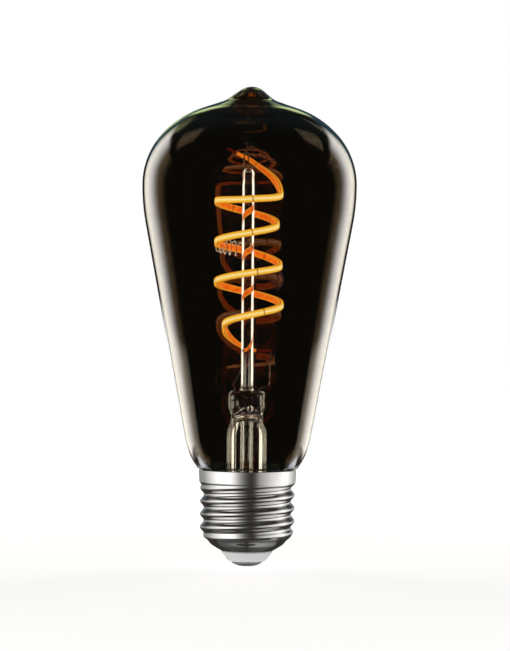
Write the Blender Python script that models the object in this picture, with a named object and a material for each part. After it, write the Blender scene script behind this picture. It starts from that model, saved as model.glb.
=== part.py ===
"""Smart LED filament bulb: a long teardrop glass bulb on an E27 screw cap.

Metres, +Z up. The origin is the middle of the centre contact's flat bottom face, and +Z runs
up the bulb's axis to the glass tip. -Y is the front.
"""

import math

import bmesh
import bpy
from mathutils import Vector

# Glass bulb, an ST60 outline: a wide shoulder, a long cone and a drawn tip.
GLASS_RADIUS = 0.0300
GLASS_WALL = 0.0008
EQUATOR_Z = 0.1065
SHOULDER_RADIUS = 0.0210
SHOULDER_CHANGE_ANGLE = 40.0
UPPER_SHOULDER_RADIUS = 0.0256
SHOULDER_END_ANGLE = 70.8
SHOULDER_LINE_END_RADIUS = 0.0080
BELLY_RADIUS = 0.060
CONE_HALF_ANGLE = 10.56
CONE_END_Z = 0.0356
FOOT_RADIUS = 0.0192
FOOT_END_ANGLE = 38.0
TIP_Z = 0.13405
TIP_RADIUS = 0.0055
TIP_CONE_ANGLE = 38.0
TIP_CONE_BASE_RADIUS = 0.0058
NECK_RADIUS = 0.0112
NECK_BOTTOM_Z = 0.0193
NECK_TOP_Z = 0.0252

# Screw cap: E27 thread in thin nickelled sheet.
SHEET = 0.0003
RIM_Z = 0.0269
RIM_RADIUS = 0.0136
COLLAR_BULGE_RADIUS = 0.01355
COLLAR_BULGE_Z = 0.0248
COLLAR_FOOT_Z = 0.0229
COLLAR_FOOT_RADIUS = 0.0128
THREAD_PITCH = 0.003629
THREAD_MAJOR = 0.01325
THREAD_MINOR = 0.0122
THREAD_CREST_Z = 0.0162
THREAD_TOP_Z = 0.0222
THREAD_BOTTOM_Z = 0.0080
# The shell's smooth lower end, down to its mouth, as (radius, height).
CAP_LOWER_END = (
    (0.0118, 0.0077), (0.0112, 0.0072), (0.0105, 0.0064), (0.00995, 0.00586), (0.0091, 0.0053),
    (0.0081, 0.0047), (0.0074, 0.0043),
)

# Glass stem. Its axis stands a little to the left of the bulb's axis.
STEM_X = -0.0003
FLARE_RADIUS = 0.0099
STEM_RADIUS = 0.0055
STEM_WALL = 0.0008
STEM_BOTTOM_Z = 0.0196
FLARE_TOP_Z = 0.026
EXHAUST_RADIUS = 0.00175
EXHAUST_BORE = 0.00115
EXHAUST_TIP_Z = 0.0166
EXHAUST_TOP_Z = 0.0403
VENT_X = 0.0005
VENT_Z = 0.0436
VENT_RADIUS = 0.0011
CHANNEL_X = 0.0033
CHANNEL_RADIUS = 0.00042
PRESS_TOP_Z = 0.04895
ROD_RADIUS = 0.00175
ROD_TOP_Z = 0.1113

# Filament: a flexible strip of LED chips in yellow silicone, wound into a right-handed spiral.
STRIP_WIDTH = 0.0019
STRIP_LAYERS = {
    "filament_outer_coat": (0.00018, 0.00075),
    "filament_strip": (-0.00003, 0.00007),
    "filament_inner_coat": (-0.00050, -0.00014),
}
STRIP_STEPS_PER_TURN = 30
# Quarter turns down from the right-hand side, with the radius and the height there.
FILAMENT_KEYS = (
    (-1.30, 0.0076, 0.1161), (-1.00, 0.0076, 0.1144), (-0.75, 0.0083, 0.1121),
    (-0.50, 0.0092, 0.1097), (0, 0.0093, 0.1046), (1, 0.0092, 0.1027),
    (2, 0.0087, 0.1025), (3, 0.0087, 0.0998), (4, 0.0083, 0.0958), (5, 0.0087, 0.0931),
    (6, 0.0089, 0.0909), (7, 0.0088, 0.0883), (8, 0.0089, 0.0841), (9, 0.0089, 0.0817),
    (10, 0.0087, 0.0793), (11, 0.0088, 0.0767), (12, 0.0093, 0.0731),
    (13, 0.0084, 0.0700), (14, 0.0064, 0.0666), (15, 0.0075, 0.0606), (15.20, 0.0080, 0.0602),
)
SUPPORT_LOOPS = 5
SUPPORT_START, SUPPORT_END = 6.2, 6.86
WIRE_RADIUS = 0.0002

# Electronics in the cap.
BOARD_RADIUS = 0.0104
BOARD_Z = 0.0134
BOARD_THICKNESS = 0.0010
RADIO_BOARD_Z = 0.0172
LINER_RADIUS = 0.0112
GAP = 0.0003

SEGMENTS = 32
SMALL_SEGMENTS = 16


def clear_scene():
    for obj in list(bpy.data.objects):
        bpy.data.objects.remove(obj, do_unlink=True)


def finish(name, colour, roughness, metallic=0.0, alpha=1.0, transmission=0.0, emission=0.0):
    """A Principled material with the piece's colour and gloss."""
    made = bpy.data.materials.new(name)
    made.use_nodes = True
    shader = made.node_tree.nodes["Principled BSDF"]
    shader.inputs["Base Color"].default_value = (*colour, 1.0)
    shader.inputs["Roughness"].default_value = roughness
    shader.inputs["Metallic"].default_value = metallic
    shader.inputs["Alpha"].default_value = alpha
    shader.inputs["Transmission Weight"].default_value = transmission
    shader.inputs["Emission Color"].default_value = (*colour, 1.0)
    shader.inputs["Emission Strength"].default_value = emission
    return made


def finishes():
    return {
        "smoked_glass": finish("smoked_glass", (0.16, 0.15, 0.13), 0.02, 0.0, 0.5, 1.0),
        "clear_glass": finish("clear_glass", (0.95, 0.96, 0.95), 0.02, 0.0, 0.4, 1.0),
        "nickel": finish("nickel", (0.78, 0.77, 0.75), 0.15, 1.0),
        "white_plastic": finish("white_plastic", (0.85, 0.86, 0.86), 0.45),
        "silicone": finish("silicone", (1.0, 0.62, 0.08), 0.5, emission=2.0),
        "strip": finish("strip", (0.85, 0.35, 0.08), 0.5),
        "tab": finish("tab", (0.35, 0.05, 0.02), 0.4, 0.8),
        "wire": finish("wire", (0.35, 0.33, 0.31), 0.3, 1.0),
        "copper": finish("copper", (0.80, 0.42, 0.25), 0.3, 1.0),
        "board_green": finish("board_green", (0.03, 0.20, 0.09), 0.4),
        "black_plastic": finish("black_plastic", (0.02, 0.02, 0.02), 0.5),
        "cement": finish("cement", (0.75, 0.68, 0.52), 0.9),
        "insulated": finish("insulated", (0.70, 0.05, 0.04), 0.5),
        "ceramic": finish("ceramic", (0.80, 0.80, 0.76), 0.5),
    }


def place(name, bm, material, smooth=True):
    """Turns a bmesh into a named object with outward faces and the given material."""
    bmesh.ops.remove_doubles(bm, verts=bm.verts, dist=1e-7)
    bmesh.ops.recalc_face_normals(bm, faces=bm.faces)
    mesh = bpy.data.meshes.new(name)
    bm.to_mesh(mesh)
    bm.free()
    mesh.materials.append(material)
    if smooth:
        mesh.shade_smooth()
        mesh.set_sharp_from_angle(angle=math.radians(35))
    obj = bpy.data.objects.new(name, mesh)
    bpy.context.scene.collection.objects.link(obj)
    return obj


def turned(name, outline, material, segments=SEGMENTS, centre=(0, 0, 0), along="Z"):
    """A solid of revolution: outline points are (radius, height), round the section in order.

    An outline with both ends on the axis is a solid piece, and any other outline is a ring.
    """
    bm = bmesh.new()
    points = [bm.verts.new((radius, 0, height)) for radius, height in outline]
    edges = [bm.edges.new(pair) for pair in zip(points, points[1:])]
    if outline[0][0] > 0 or outline[-1][0] > 0:
        edges.append(bm.edges.new((points[-1], points[0])))
    bmesh.ops.spin(
        bm, geom=points + edges, axis=(0, 0, 1), cent=(0, 0, 0), steps=segments,
        angle=math.tau, use_merge=True,
    )
    obj = place(name, bm, material)
    if along == "Y":
        obj.rotation_euler.x = -math.pi / 2
    obj.location = centre
    return obj


def skin(name, rings, material, capped=True):
    """A closed solid through rings of equal counts; pole points close it where the ends are capped."""
    bm = bmesh.new()
    rows = [[bm.verts.new(point) for point in ring] for ring in rings]
    pairs = list(zip(rows, rows[1:]))
    if not capped:
        pairs.append((rows[-1], rows[0]))
    for lower, upper in pairs:
        for i in range(len(lower)):
            j = (i + 1) % len(lower)
            bm.faces.new((lower[i], lower[j], upper[j], upper[i]))
    if capped:
        bm.faces.new(rows[0])
        bm.faces.new(rows[-1])
    return place(name, bm, material)


def block(name, size, centre, material, bevel=0.00012):
    """A rectangular body with slightly broken edges."""
    bm = bmesh.new()
    bmesh.ops.create_cube(bm, size=1.0)
    bmesh.ops.scale(bm, vec=size, verts=bm.verts)
    bmesh.ops.bevel(bm, geom=bm.edges, offset=bevel, segments=1, affect="EDGES")
    obj = place(name, bm, material, smooth=False)
    obj.location = centre
    return obj


def wire(name, route, material, radius=WIRE_RADIUS):
    """A round wire along a smooth curve through the route's points."""
    curve = bpy.data.curves.new(name, "CURVE")
    curve.dimensions = "3D"
    curve.bevel_depth = radius
    curve.bevel_resolution = 1
    curve.use_fill_caps = True
    spline = curve.splines.new("POLY")
    spline.points.add(len(route) - 1)
    for point, place_at in zip(spline.points, route):
        point.co = (*place_at, 1.0)
    curve.materials.append(material)
    obj = bpy.data.objects.new(name, curve)
    bpy.context.scene.collection.objects.link(obj)
    return obj


def arc(centre, radius, start, end, steps):
    """Points on a circle, angles in degrees up from the outward direction."""
    angles = [math.radians(start + (end - start) * i / steps) for i in range(steps + 1)]
    return [(centre[0] + radius * math.cos(a), centre[1] + radius * math.sin(a)) for a in angles]


def bend(start, corner, end, steps):
    """A smooth bend from start to end that leaves and arrives along the corner's two sides."""
    points = []
    for i in range(steps + 1):
        t = i / steps
        weights = ((1 - t) ** 2, 2 * t * (1 - t), t ** 2)
        points.append(tuple(
            sum(w * p[axis] for w, p in zip(weights, (start, corner, end)))
            for axis in range(len(start))
        ))
    return points


def smooth_route(points, steps):
    """A curve through all the points, as a list with the given number of steps a stretch."""
    ends = [points[0]] + list(points) + [points[-1]]
    route = []
    for a, b, c, d in zip(ends, ends[1:], ends[2:], ends[3:]):
        a, b, c, d = Vector(a), Vector(b), Vector(c), Vector(d)
        for i in range(steps):
            t = i / steps
            pull_in, pull_out = (c - a) / 2, (d - b) / 2
            route.append(
                (2 * t ** 3 - 3 * t ** 2 + 1) * b + (t ** 3 - 2 * t ** 2 + t) * pull_in
                + (3 * t ** 2 - 2 * t ** 3) * c + (t ** 3 - t ** 2) * pull_out
            )
    return route + [Vector(points[-1])]


def bulb_side(inset):
    """The bulb's side from neck to shoulder, moved inwards by inset: an open outline."""
    half_angle = math.radians(CONE_HALF_ANGLE)
    shoulder_centre = (GLASS_RADIUS - SHOULDER_RADIUS, EQUATOR_Z)
    change = math.radians(SHOULDER_CHANGE_ANGLE)
    flatter_by = UPPER_SHOULDER_RADIUS - SHOULDER_RADIUS
    upper_centre = (
        shoulder_centre[0] - flatter_by * math.cos(change),
        shoulder_centre[1] - flatter_by * math.sin(change),
    )
    belly_centre = (GLASS_RADIUS - BELLY_RADIUS, EQUATOR_Z)
    belly_end_radius = belly_centre[0] + BELLY_RADIUS * math.cos(half_angle)
    belly_end_z = EQUATOR_Z - BELLY_RADIUS * math.sin(half_angle)
    cone_end_radius = belly_end_radius - (belly_end_z - CONE_END_Z) * math.tan(half_angle)
    foot_centre = (
        cone_end_radius - FOOT_RADIUS * math.cos(half_angle),
        CONE_END_Z + FOOT_RADIUS * math.sin(half_angle),
    )
    foot = arc(foot_centre, FOOT_RADIUS - inset, -FOOT_END_ANGLE, -CONE_HALF_ANGLE, 5)
    neck_radius = NECK_RADIUS - inset
    neck = bend((neck_radius, NECK_TOP_Z), (neck_radius, RIM_Z + inset), foot[0], 4)
    belly = arc(belly_centre, BELLY_RADIUS - inset, -CONE_HALF_ANGLE, 0, 3)
    shoulder = arc(shoulder_centre, SHOULDER_RADIUS - inset, 0, SHOULDER_CHANGE_ANGLE, 5)
    top_angle = SHOULDER_END_ANGLE if inset == 0 else 90
    upper = arc(upper_centre, UPPER_SHOULDER_RADIUS - inset, SHOULDER_CHANGE_ANGLE, top_angle, 5)
    return [(neck_radius, NECK_BOTTOM_Z)] + neck + foot[1:] + belly + shoulder[1:] + upper[1:]


def glass_bulb(looks):
    """The smoked bulb: one blown wall, open at the neck, with a solid drawn tip."""
    slope = math.tan(math.radians(TIP_CONE_ANGLE))
    tip = arc((0, TIP_Z - TIP_RADIUS), TIP_RADIUS, 90 - TIP_CONE_ANGLE, 90, 3)
    tip[-1] = (0, TIP_Z)
    base = (TIP_CONE_BASE_RADIUS, tip[0][1] - (TIP_CONE_BASE_RADIUS - tip[0][0]) * slope)
    outside = bulb_side(0)
    # A straight run leads from the shoulder to the fillet under the tip's cone.
    fall = math.tan(math.radians(90 - SHOULDER_END_ANGLE))
    run = outside[-1][0] - SHOULDER_LINE_END_RADIUS
    line_end = (SHOULDER_LINE_END_RADIUS, outside[-1][1] + fall * run)
    # The corner is where the cone, drawn down, meets that straight run.
    corner_radius = (base[1] - line_end[1] + slope * base[0] - fall * line_end[0]) / (slope - fall)
    corner = (corner_radius, base[1] - slope * (corner_radius - base[0]))
    fillet = bend(line_end, corner, base, 4)
    inside = bulb_side(GLASS_WALL)
    dome = (0, inside[-1][1] + GLASS_WALL / 2)
    outline = outside + fillet + tip + [dome] + inside[::-1]
    bm = bmesh.new()
    points = [bm.verts.new((radius, 0, height)) for radius, height in outline]
    cut = len(outside) + len(fillet) + len(tip)
    edges = [bm.edges.new(pair) for pair in zip(points[:cut], points[1:cut])]
    edges += [bm.edges.new(pair) for pair in zip(points[cut:], points[cut + 1:])]
    edges.append(bm.edges.new((points[-1], points[0])))
    bmesh.ops.spin(
        bm, geom=points + edges, axis=(0, 0, 1), cent=(0, 0, 0), steps=SEGMENTS,
        angle=math.tau, use_merge=True,
    )
    place("glass_bulb", bm, looks["smoked_glass"])


def oval(z, half_x, half_y, squareness, count):
    """A ring at height z: a circle or an ellipse at squareness 2, flatter sided above that."""
    ring = []
    for i in range(count):
        angle = math.tau * i / count
        c, s = math.cos(angle), math.sin(angle)
        power = 2 / squareness
        ring.append((
            STEM_X + half_x * math.copysign(abs(c) ** power, c),
            half_y * math.copysign(abs(s) ** power, s),
            z,
        ))
    return ring


def drill(name, target, start, end, radius):
    """Cuts a round channel through the target."""
    start, end = Vector(start), Vector(end)
    bm = bmesh.new()
    bmesh.ops.create_cone(
        bm, cap_ends=True, segments=SMALL_SEGMENTS, radius1=radius, radius2=radius,
        depth=(end - start).length,
    )
    mesh = bpy.data.meshes.new(name)
    bm.to_mesh(mesh)
    bm.free()
    cutter = bpy.data.objects.new(name, mesh)
    bpy.context.scene.collection.objects.link(cutter)
    cutter.location = (start + end) / 2
    cutter.rotation_euler = (end - start).to_track_quat("Z", "Y").to_euler()
    cutter.hide_render = True
    cutter.display_type = "WIRE"
    cut = target.modifiers.new(name, "BOOLEAN")
    cut.operation = "DIFFERENCE"
    cut.object = cutter


def glass_stem(looks):
    """Flare, stem tube and flat press in one clear piece, drilled for wires and for the vent."""
    sections = [
        (z, radius, radius, 2)
        for radius, z in bend(
            (FLARE_RADIUS, STEM_BOTTOM_Z), (STEM_RADIUS, STEM_BOTTOM_Z + 0.001),
            (STEM_RADIUS, FLARE_TOP_Z), 4,
        )
    ]
    sections += [
        (0.0373, STEM_RADIUS, STEM_RADIUS, 2), (0.0385, 0.00515, 0.0051, 2),
        (0.0397, 0.00455, 0.0045, 2.1), (0.0408, 0.0044, 0.0038, 2.2), (0.0418, 0.0044, 0.0030, 2.4),
        (0.0428, 0.0046, 0.0024, 2.7), (0.0440, 0.00495, 0.0019, 3.2),
        (0.0465, 0.00505, 0.0018, 3.4), (0.0480, 0.0050, 0.0017, 3.2),
        (0.0486, 0.0047, 0.0014, 3), (PRESS_TOP_Z, 0.0040, 0.0008, 2.4),
    ]
    bore = [
        (z, radius, radius, 2)
        for radius, z in bend(
            (FLARE_RADIUS - STEM_WALL, STEM_BOTTOM_Z), (STEM_RADIUS - STEM_WALL, STEM_BOTTOM_Z + 0.001),
            (STEM_RADIUS - STEM_WALL, FLARE_TOP_Z), 4,
        )
    ]
    bore += [
        (0.0368, STEM_RADIUS - STEM_WALL, STEM_RADIUS - STEM_WALL, 2), (0.0381, 0.00435, 0.0043, 2),
        (0.0393, 0.00375, 0.0037, 2), (0.0404, 0.00355, 0.0030, 2), (0.0412, 0.0033, 0.0022, 2),
        (0.0418, 0.0026, 0.0015, 2), (0.0421, 0.0012, 0.0007, 2),
    ]
    rings = [oval(*section, SEGMENTS) for section in bore[::-1] + sections]
    stem = skin("glass_stem", rings, looks["clear_glass"])
    for side, name in ((-1, "left_channel"), (1, "right_channel")):
        x = STEM_X + side * CHANNEL_X
        drill(name, stem, (x, 0, 0.0385), (x, 0, 0.0500), CHANNEL_RADIUS)
    drill("exhaust_channel", stem, (VENT_X, 0, 0.0412), (VENT_X, 0, VENT_Z), 0.0007)
    drill("vent_hole", stem, (VENT_X, -0.0040, VENT_Z), (VENT_X, 0.0006, VENT_Z), VENT_RADIUS)


def exhaust_tube(looks):
    """The tube that the bulb was filled through, open at the press and melted shut at its foot."""
    foot = arc((0, EXHAUST_TIP_Z + EXHAUST_RADIUS), EXHAUST_RADIUS, -90, 0, 4)
    foot[0] = (0, EXHAUST_TIP_Z)
    bore_foot = EXHAUST_TIP_Z + EXHAUST_RADIUS + 0.001
    outline = foot + [
        (EXHAUST_RADIUS, EXHAUST_TOP_Z - 0.0014), (0.0019, EXHAUST_TOP_Z - 0.0006),
        (0.0023, EXHAUST_TOP_Z), (0.0017, EXHAUST_TOP_Z), (EXHAUST_BORE, EXHAUST_TOP_Z - 0.0010),
        (EXHAUST_BORE, bore_foot + 0.0006), (0, bore_foot),
    ]
    turned("exhaust_tube", outline, looks["clear_glass"], SMALL_SEGMENTS, (STEM_X, 0, 0))


def support_rod(looks):
    """The solid glass rod that stands on the press, with a melted head."""
    foot_z = PRESS_TOP_Z + GAP
    head = arc((0, ROD_TOP_Z - 0.0017), 0.0017, 10, 90, 4)
    head[-1] = (0, ROD_TOP_Z)
    outline = [
        (0, foot_z), (0.0021, foot_z), (ROD_RADIUS, foot_z + 0.0007),
        (ROD_RADIUS, ROD_TOP_Z - 0.0042), (0.00155, ROD_TOP_Z - 0.0034), (0.0016, ROD_TOP_Z - 0.0024),
    ]
    turned("support_rod", outline + head, looks["clear_glass"], SMALL_SEGMENTS, (STEM_X, 0, 0))


def filament_at(turn):
    """Radius and height of the filament at a number of quarter turns, smooth between the keys."""
    keys = FILAMENT_KEYS
    last = len(keys) - 1
    index = max(i for i in range(last) if keys[i][0] <= turn + 1e-9)

    def slope(i, axis):
        low, high = keys[max(i - 1, 0)], keys[min(i + 1, last)]
        return (high[axis] - low[axis]) / (high[0] - low[0])

    start, end = keys[index], keys[index + 1]
    width = end[0] - start[0]
    t = (turn - start[0]) / width
    return tuple(
        (2 * t ** 3 - 3 * t ** 2 + 1) * start[axis]
        + (t ** 3 - 2 * t ** 2 + t) * width * slope(index, axis)
        + (3 * t ** 2 - 2 * t ** 3) * end[axis]
        + (t ** 3 - t ** 2) * width * slope(index + 1, axis)
        for axis in (1, 2)
    )


def filament_point(turn):
    radius, height = filament_at(turn)
    angle = -turn * math.pi / 2
    return Vector((STEM_X + radius * math.cos(angle), radius * math.sin(angle), height))


def filament_frame(turn):
    """The strip's centre, its outward direction and its width direction at a turn."""
    step = 0.02
    first, last = FILAMENT_KEYS[0][0], FILAMENT_KEYS[-1][0]
    before = filament_point(max(turn - step, first))
    after = filament_point(min(turn + step, last))
    along = (after - before).normalized()
    centre = filament_point(turn)
    out = Vector((centre.x - STEM_X, centre.y, 0)).normalized()
    out = (out - along * out.dot(along)).normalized()
    return centre, out, along.cross(out)


def filament(looks):
    """Three bonded layers: the outer coat over the chips, the strip, and the inner coat."""
    first, last = FILAMENT_KEYS[0][0], FILAMENT_KEYS[-1][0]
    steps = round((last - first) / 4 * STRIP_STEPS_PER_TURN)
    frames = [filament_frame(first + (last - first) * i / steps) for i in range(steps + 1)]
    half = STRIP_WIDTH / 2
    for name, (low, high) in STRIP_LAYERS.items():
        # The coats are crowned: their free edge is narrower than the edge on the strip.
        low_half = half * (0.55 if name == "filament_inner_coat" else 1)
        high_half = half * (0.55 if name == "filament_outer_coat" else 1)
        rings = [
            [
                centre + out * low - wide * low_half, centre + out * low + wide * low_half,
                centre + out * high + wide * high_half, centre + out * high - wide * high_half,
            ]
            for centre, out, wide in frames
        ]
        skin(name, rings, looks["strip" if name == "filament_strip" else "silicone"])


def strip_tab(name, turn, direction, length, rise, looks):
    """The bare metal end of the strip, carried on straight past the coat."""
    centre, out, wide = filament_frame(turn)
    along = out.cross(wide).normalized() * direction
    start = centre + along * GAP
    end = start + along * length + Vector((0, 0, rise))
    half, thick = 0.0006, 0.0001
    rings = [
        [
            point - out * thick - wide * half, point - out * thick + wide * half,
            point + out * thick + wide * half, point + out * thick - wide * half,
        ]
        for point in (start, end)
    ]
    skin(name, rings, looks["tab"])
    return end


def support_coil(looks):
    """A fine wire wound round the strip at the left, with its tail held in the rod."""
    turns_per_loop = (SUPPORT_END - SUPPORT_START) / SUPPORT_LOOPS
    per_loop = 10
    route = []
    for i in range(SUPPORT_LOOPS * per_loop + 1):
        turn = SUPPORT_START + turns_per_loop * i / per_loop
        centre, out, wide = filament_frame(turn)
        angle = math.pi + math.tau * i / per_loop
        route.append(
            centre + out * (0.00015 + 0.00105 * math.cos(angle)) + wide * 0.00145 * math.sin(angle)
        )
    end = route[-1]
    rod_side = Vector((STEM_X - 0.0006, ROD_RADIUS + GAP, 0.0893))
    route += smooth_route([end, Vector((end.x * 0.8, end.y * 0.75, 0.0890)), rod_side], 3)[1:]
    wire("support_coil", route, looks["wire"], 0.00014)


def lead_wires(tabs, looks):
    """Inner leads above the press, their seals inside it, and outer leads down to the driver."""
    left, right = STEM_X - CHANNEL_X, STEM_X + CHANNEL_X
    seal_low, seal_high = 0.0426, 0.0480
    for name, x in (("left_seal_wire", left), ("right_seal_wire", right)):
        wire(name, [(x, 0, seal_low), (x, 0, seal_high)], looks["copper"])
    board_top = BOARD_Z + BOARD_THICKNESS + GAP
    for name, x in (("left_outer_lead", left), ("right_outer_lead", right)):
        wire(name, [(x, 0, board_top), (x, 0, 0.030), (x, 0, seal_low - GAP)], looks["copper"])
    start = seal_high + GAP
    bottom = tabs["bottom"]
    route = [
        (right, 0, start), (right, 0, PRESS_TOP_Z + 0.0003), (0.0042, 0.0004, 0.0500),
        (0.0056, 0.0016, 0.0503), (0.0061, 0.0028, 0.0518),
        (0.0061, bottom.y * 0.9, 0.0560), (bottom.x - 0.0002, bottom.y, bottom.z - 0.0006),
    ]
    wire("right_inner_lead", smooth_route(route, 4), looks["wire"])
    # The left lead climbs behind the rod, just clear of its side.
    beside_x, beside_y = -0.00185, 0.00165
    hook_y = 0.0062
    route = [
        (left, 0, start), (left - 0.0003, 0, 0.0497), (-0.0033, 0.0005, 0.0525),
        (beside_x - 0.0002, beside_y - 0.0001, 0.0585), (beside_x, beside_y, 0.0720),
        (beside_x, beside_y, 0.1080), (-0.0018, 0.0021, 0.1117),
        (-0.0016, 0.0045, 0.1128), (-0.0016, hook_y, 0.1140), (-0.0015, hook_y + 0.0004, 0.1162),
        (-0.0011, hook_y + 0.0010, 0.1167), (-0.0006, hook_y + 0.0002, 0.1158),
        (-0.0004, hook_y - 0.0004, 0.1138), (-0.0006, hook_y - 0.0014, 0.1122),
    ]
    wire("left_inner_lead", smooth_route(route, 4), looks["wire"])
    hook = [
        (bottom.x + 0.0005, bottom.y, bottom.z - 0.0012), (bottom.x + 0.0007, bottom.y - 0.0003, 0.0572),
        (bottom.x + 0.0009, bottom.y - 0.0006, 0.0562), (bottom.x + 0.0006, bottom.y - 0.0006, 0.0560),
    ]
    wire("bottom_tab_pin", smooth_route(hook, 3), looks["wire"], 0.00015)


def thread_radius(angle, z):
    """Outside radius of the threaded shell: a rounded right-handed thread that fades at its ends."""
    phase = (z - THREAD_CREST_Z) / THREAD_PITCH - angle / math.tau
    wave = 0.5 + 0.5 * math.cos(math.tau * phase)
    fade_in = min(max((z - THREAD_BOTTOM_Z) / 0.0018, 0), 1)
    fade_out = min(max((THREAD_TOP_Z - z) / 0.0016, 0), 1)
    plain = THREAD_MINOR + (COLLAR_FOOT_RADIUS - THREAD_MINOR) * (1 - fade_out)
    return plain + (THREAD_MAJOR - THREAD_MINOR) * wave * fade_in * fade_out


def cap_column(angle):
    """The shell's outer side at one angle, from the rim down to the mouth."""
    column = [(RIM_RADIUS, RIM_Z)] + bend(
        (COLLAR_BULGE_RADIUS, COLLAR_BULGE_Z), (COLLAR_BULGE_RADIUS, COLLAR_FOOT_Z),
        (COLLAR_FOOT_RADIUS, COLLAR_FOOT_Z), 3,
    )
    rows = 26
    for i in range(rows + 1):
        z = THREAD_TOP_Z + (THREAD_BOTTOM_Z - THREAD_TOP_Z) * i / rows
        column.append((thread_radius(angle, z), z))
    return column + list(CAP_LOWER_END)


def inset(column, distance):
    """The same column moved inwards, square to the sheet."""
    moved = []
    for i, (radius, z) in enumerate(column):
        before, after = column[max(i - 1, 0)], column[min(i + 1, len(column) - 1)]
        run, fall = after[0] - before[0], after[1] - before[1]
        length = math.hypot(run, fall)
        moved.append((radius + distance * fall / length, z - distance * run / length))
    return moved


def screw_cap(looks):
    """The nickelled shell, one sheet with the thread pressed into it, open at rim and mouth."""
    columns = []
    for i in range(SEGMENTS):
        angle = math.tau * i / SEGMENTS
        outside = cap_column(angle)
        section = outside + inset(outside, SHEET)[::-1]
        columns.append([(r * math.cos(angle), r * math.sin(angle), z) for r, z in section])
    rings = [list(ring) for ring in zip(*columns)]
    skin("screw_cap", rings, looks["nickel"], capped=False)


def cap_fittings(looks):
    """Insulator, centre contact, cement and the liner that keeps the electronics off the shell."""
    hole = 0.0015
    insulator = [
        (hole, 0.00135), (0.0050, 0.00130), (0.0053, 0.0015), (0.0056, 0.0019), (0.0065, 0.0030),
        (0.0071, 0.0039), (0.0069, 0.0041), (0.0068, 0.0053), (0.0080, 0.0060), (0.0080, 0.0070),
        (hole, 0.0070),
    ]
    turned("cap_insulator", insulator, looks["white_plastic"], 28)
    shank = hole - GAP
    contact = [
        (0, 0), (0.0020, 0), (0.0032, 0.0003), (0.0041, 0.0007), (0.0044, 0.0009), (0.0042, 0.0010),
        (shank, 0.00105), (shank, 0.0074), (0, 0.0076),
    ]
    turned("centre_contact", contact, looks["nickel"], 24)
    cement = [(0.0115, 0.0230), (0.0121, 0.0230), (0.0126, 0.0256), (0.0117, 0.0256)]
    turned("cap_cement", cement, looks["cement"], SEGMENTS)
    liner_wall = 0.0003
    liner = [
        (LINER_RADIUS - liner_wall, 0.0082), (LINER_RADIUS, 0.0082), (LINER_RADIUS, 0.0176),
        (LINER_RADIUS - liner_wall, 0.0176),
    ]
    turned("insulating_liner", liner, looks["white_plastic"], SEGMENTS)


def driver(looks):
    """The round driver board with its parts, and the wires to the cap."""
    board_top = BOARD_Z + BOARD_THICKNESS
    under = BOARD_Z - GAP
    above = board_top + GAP
    board = [(0, BOARD_Z), (BOARD_RADIUS, BOARD_Z), (BOARD_RADIUS, board_top), (0, board_top)]
    turned("driver_board", board, looks["board_green"], SEGMENTS)
    can = [
        (0, 0.0077), (0.0029, 0.0077), (0.00315, 0.0080), (0.00315, under - 0.0012),
        (0.0029, under - 0.0009), (0.00315, under - 0.0006), (0.00315, under), (0, under),
    ]
    turned("electrolytic_capacitor", can, looks["insulated"], SMALL_SEGMENTS, (-0.0052, 0.0004, 0))
    drum = [
        (0, 0.0082), (0.0029, 0.0082), (0.0029, 0.0091), (0.0022, 0.0094), (0.0022, under - 0.0012),
        (0.0029, under - 0.0009), (0.0029, under), (0, under),
    ]
    turned("filter_inductor", drum, looks["black_plastic"], SMALL_SEGMENTS, (0.0044, 0.0040, 0))
    resistor = [
        (0, -0.0036), (0.0003, -0.0036), (0.0003, -0.0028), (0.0012, -0.0026), (0.0013, -0.0018),
        (0.0013, 0.0018), (0.0012, 0.0026), (0.0003, 0.0028), (0.0003, 0.0036), (0, 0.0036),
    ]
    turned("fusible_resistor", resistor, looks["ceramic"], 12, (0.0044, -0.0044, 0.0105), along="Y")
    block("bridge_rectifier", (0.0049, 0.0039, 0.0016), (-0.0022, -0.0062, under - 0.0008),
          looks["black_plastic"])
    block("driver_chip", (0.0049, 0.0039, 0.0014), (0, -0.0060, above + 0.0007),
          looks["black_plastic"])
    live = [(0, 0, 0.0080), (0.0012, -0.0030, 0.0086), (0.0036, -0.0078, 0.0088),
            (0.0044, -0.0086, 0.0098), (0.0044, -0.0086, 0.0105)]
    wire("live_wire", smooth_route(live, 3), looks["insulated"], 0.0003)
    neutral = [(-0.0080, -0.0040, above), (-0.0084, -0.0043, 0.0172), (-0.0092, -0.0046, 0.0183),
               (-0.0102, -0.0052, 0.0185)]
    wire("neutral_wire", smooth_route(neutral, 3), looks["copper"], 0.0002)


def radio(looks):
    """The control board above the driver, with its shielded radio chip, clock and aerial."""
    centre_y = 0.0054
    under = RADIO_BOARD_Z - GAP
    thickness = 0.0008
    block("radio_board", (0.0100, 0.0050, thickness), (0, centre_y, RADIO_BOARD_Z + thickness / 2),
          looks["board_green"])
    block("radio_shield", (0.0050, 0.0040, 0.0014), (-0.0020, centre_y, under - 0.0007),
          looks["nickel"])
    block("clock_crystal", (0.0020, 0.0016, 0.0008), (0.0032, centre_y + 0.0012, under - 0.0004),
          looks["nickel"])
    height = under - (BOARD_Z + BOARD_THICKNESS + GAP)
    block("board_link", (0.0026, 0.0012, height), (0.0032, centre_y - 0.0014, under - height / 2),
          looks["black_plastic"])
    antenna_height = 0.0010
    block("radio_antenna", (0.0032, 0.0016, antenna_height),
          (0.0026, centre_y, RADIO_BOARD_Z + thickness + GAP + antenna_height / 2), looks["ceramic"])


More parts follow.
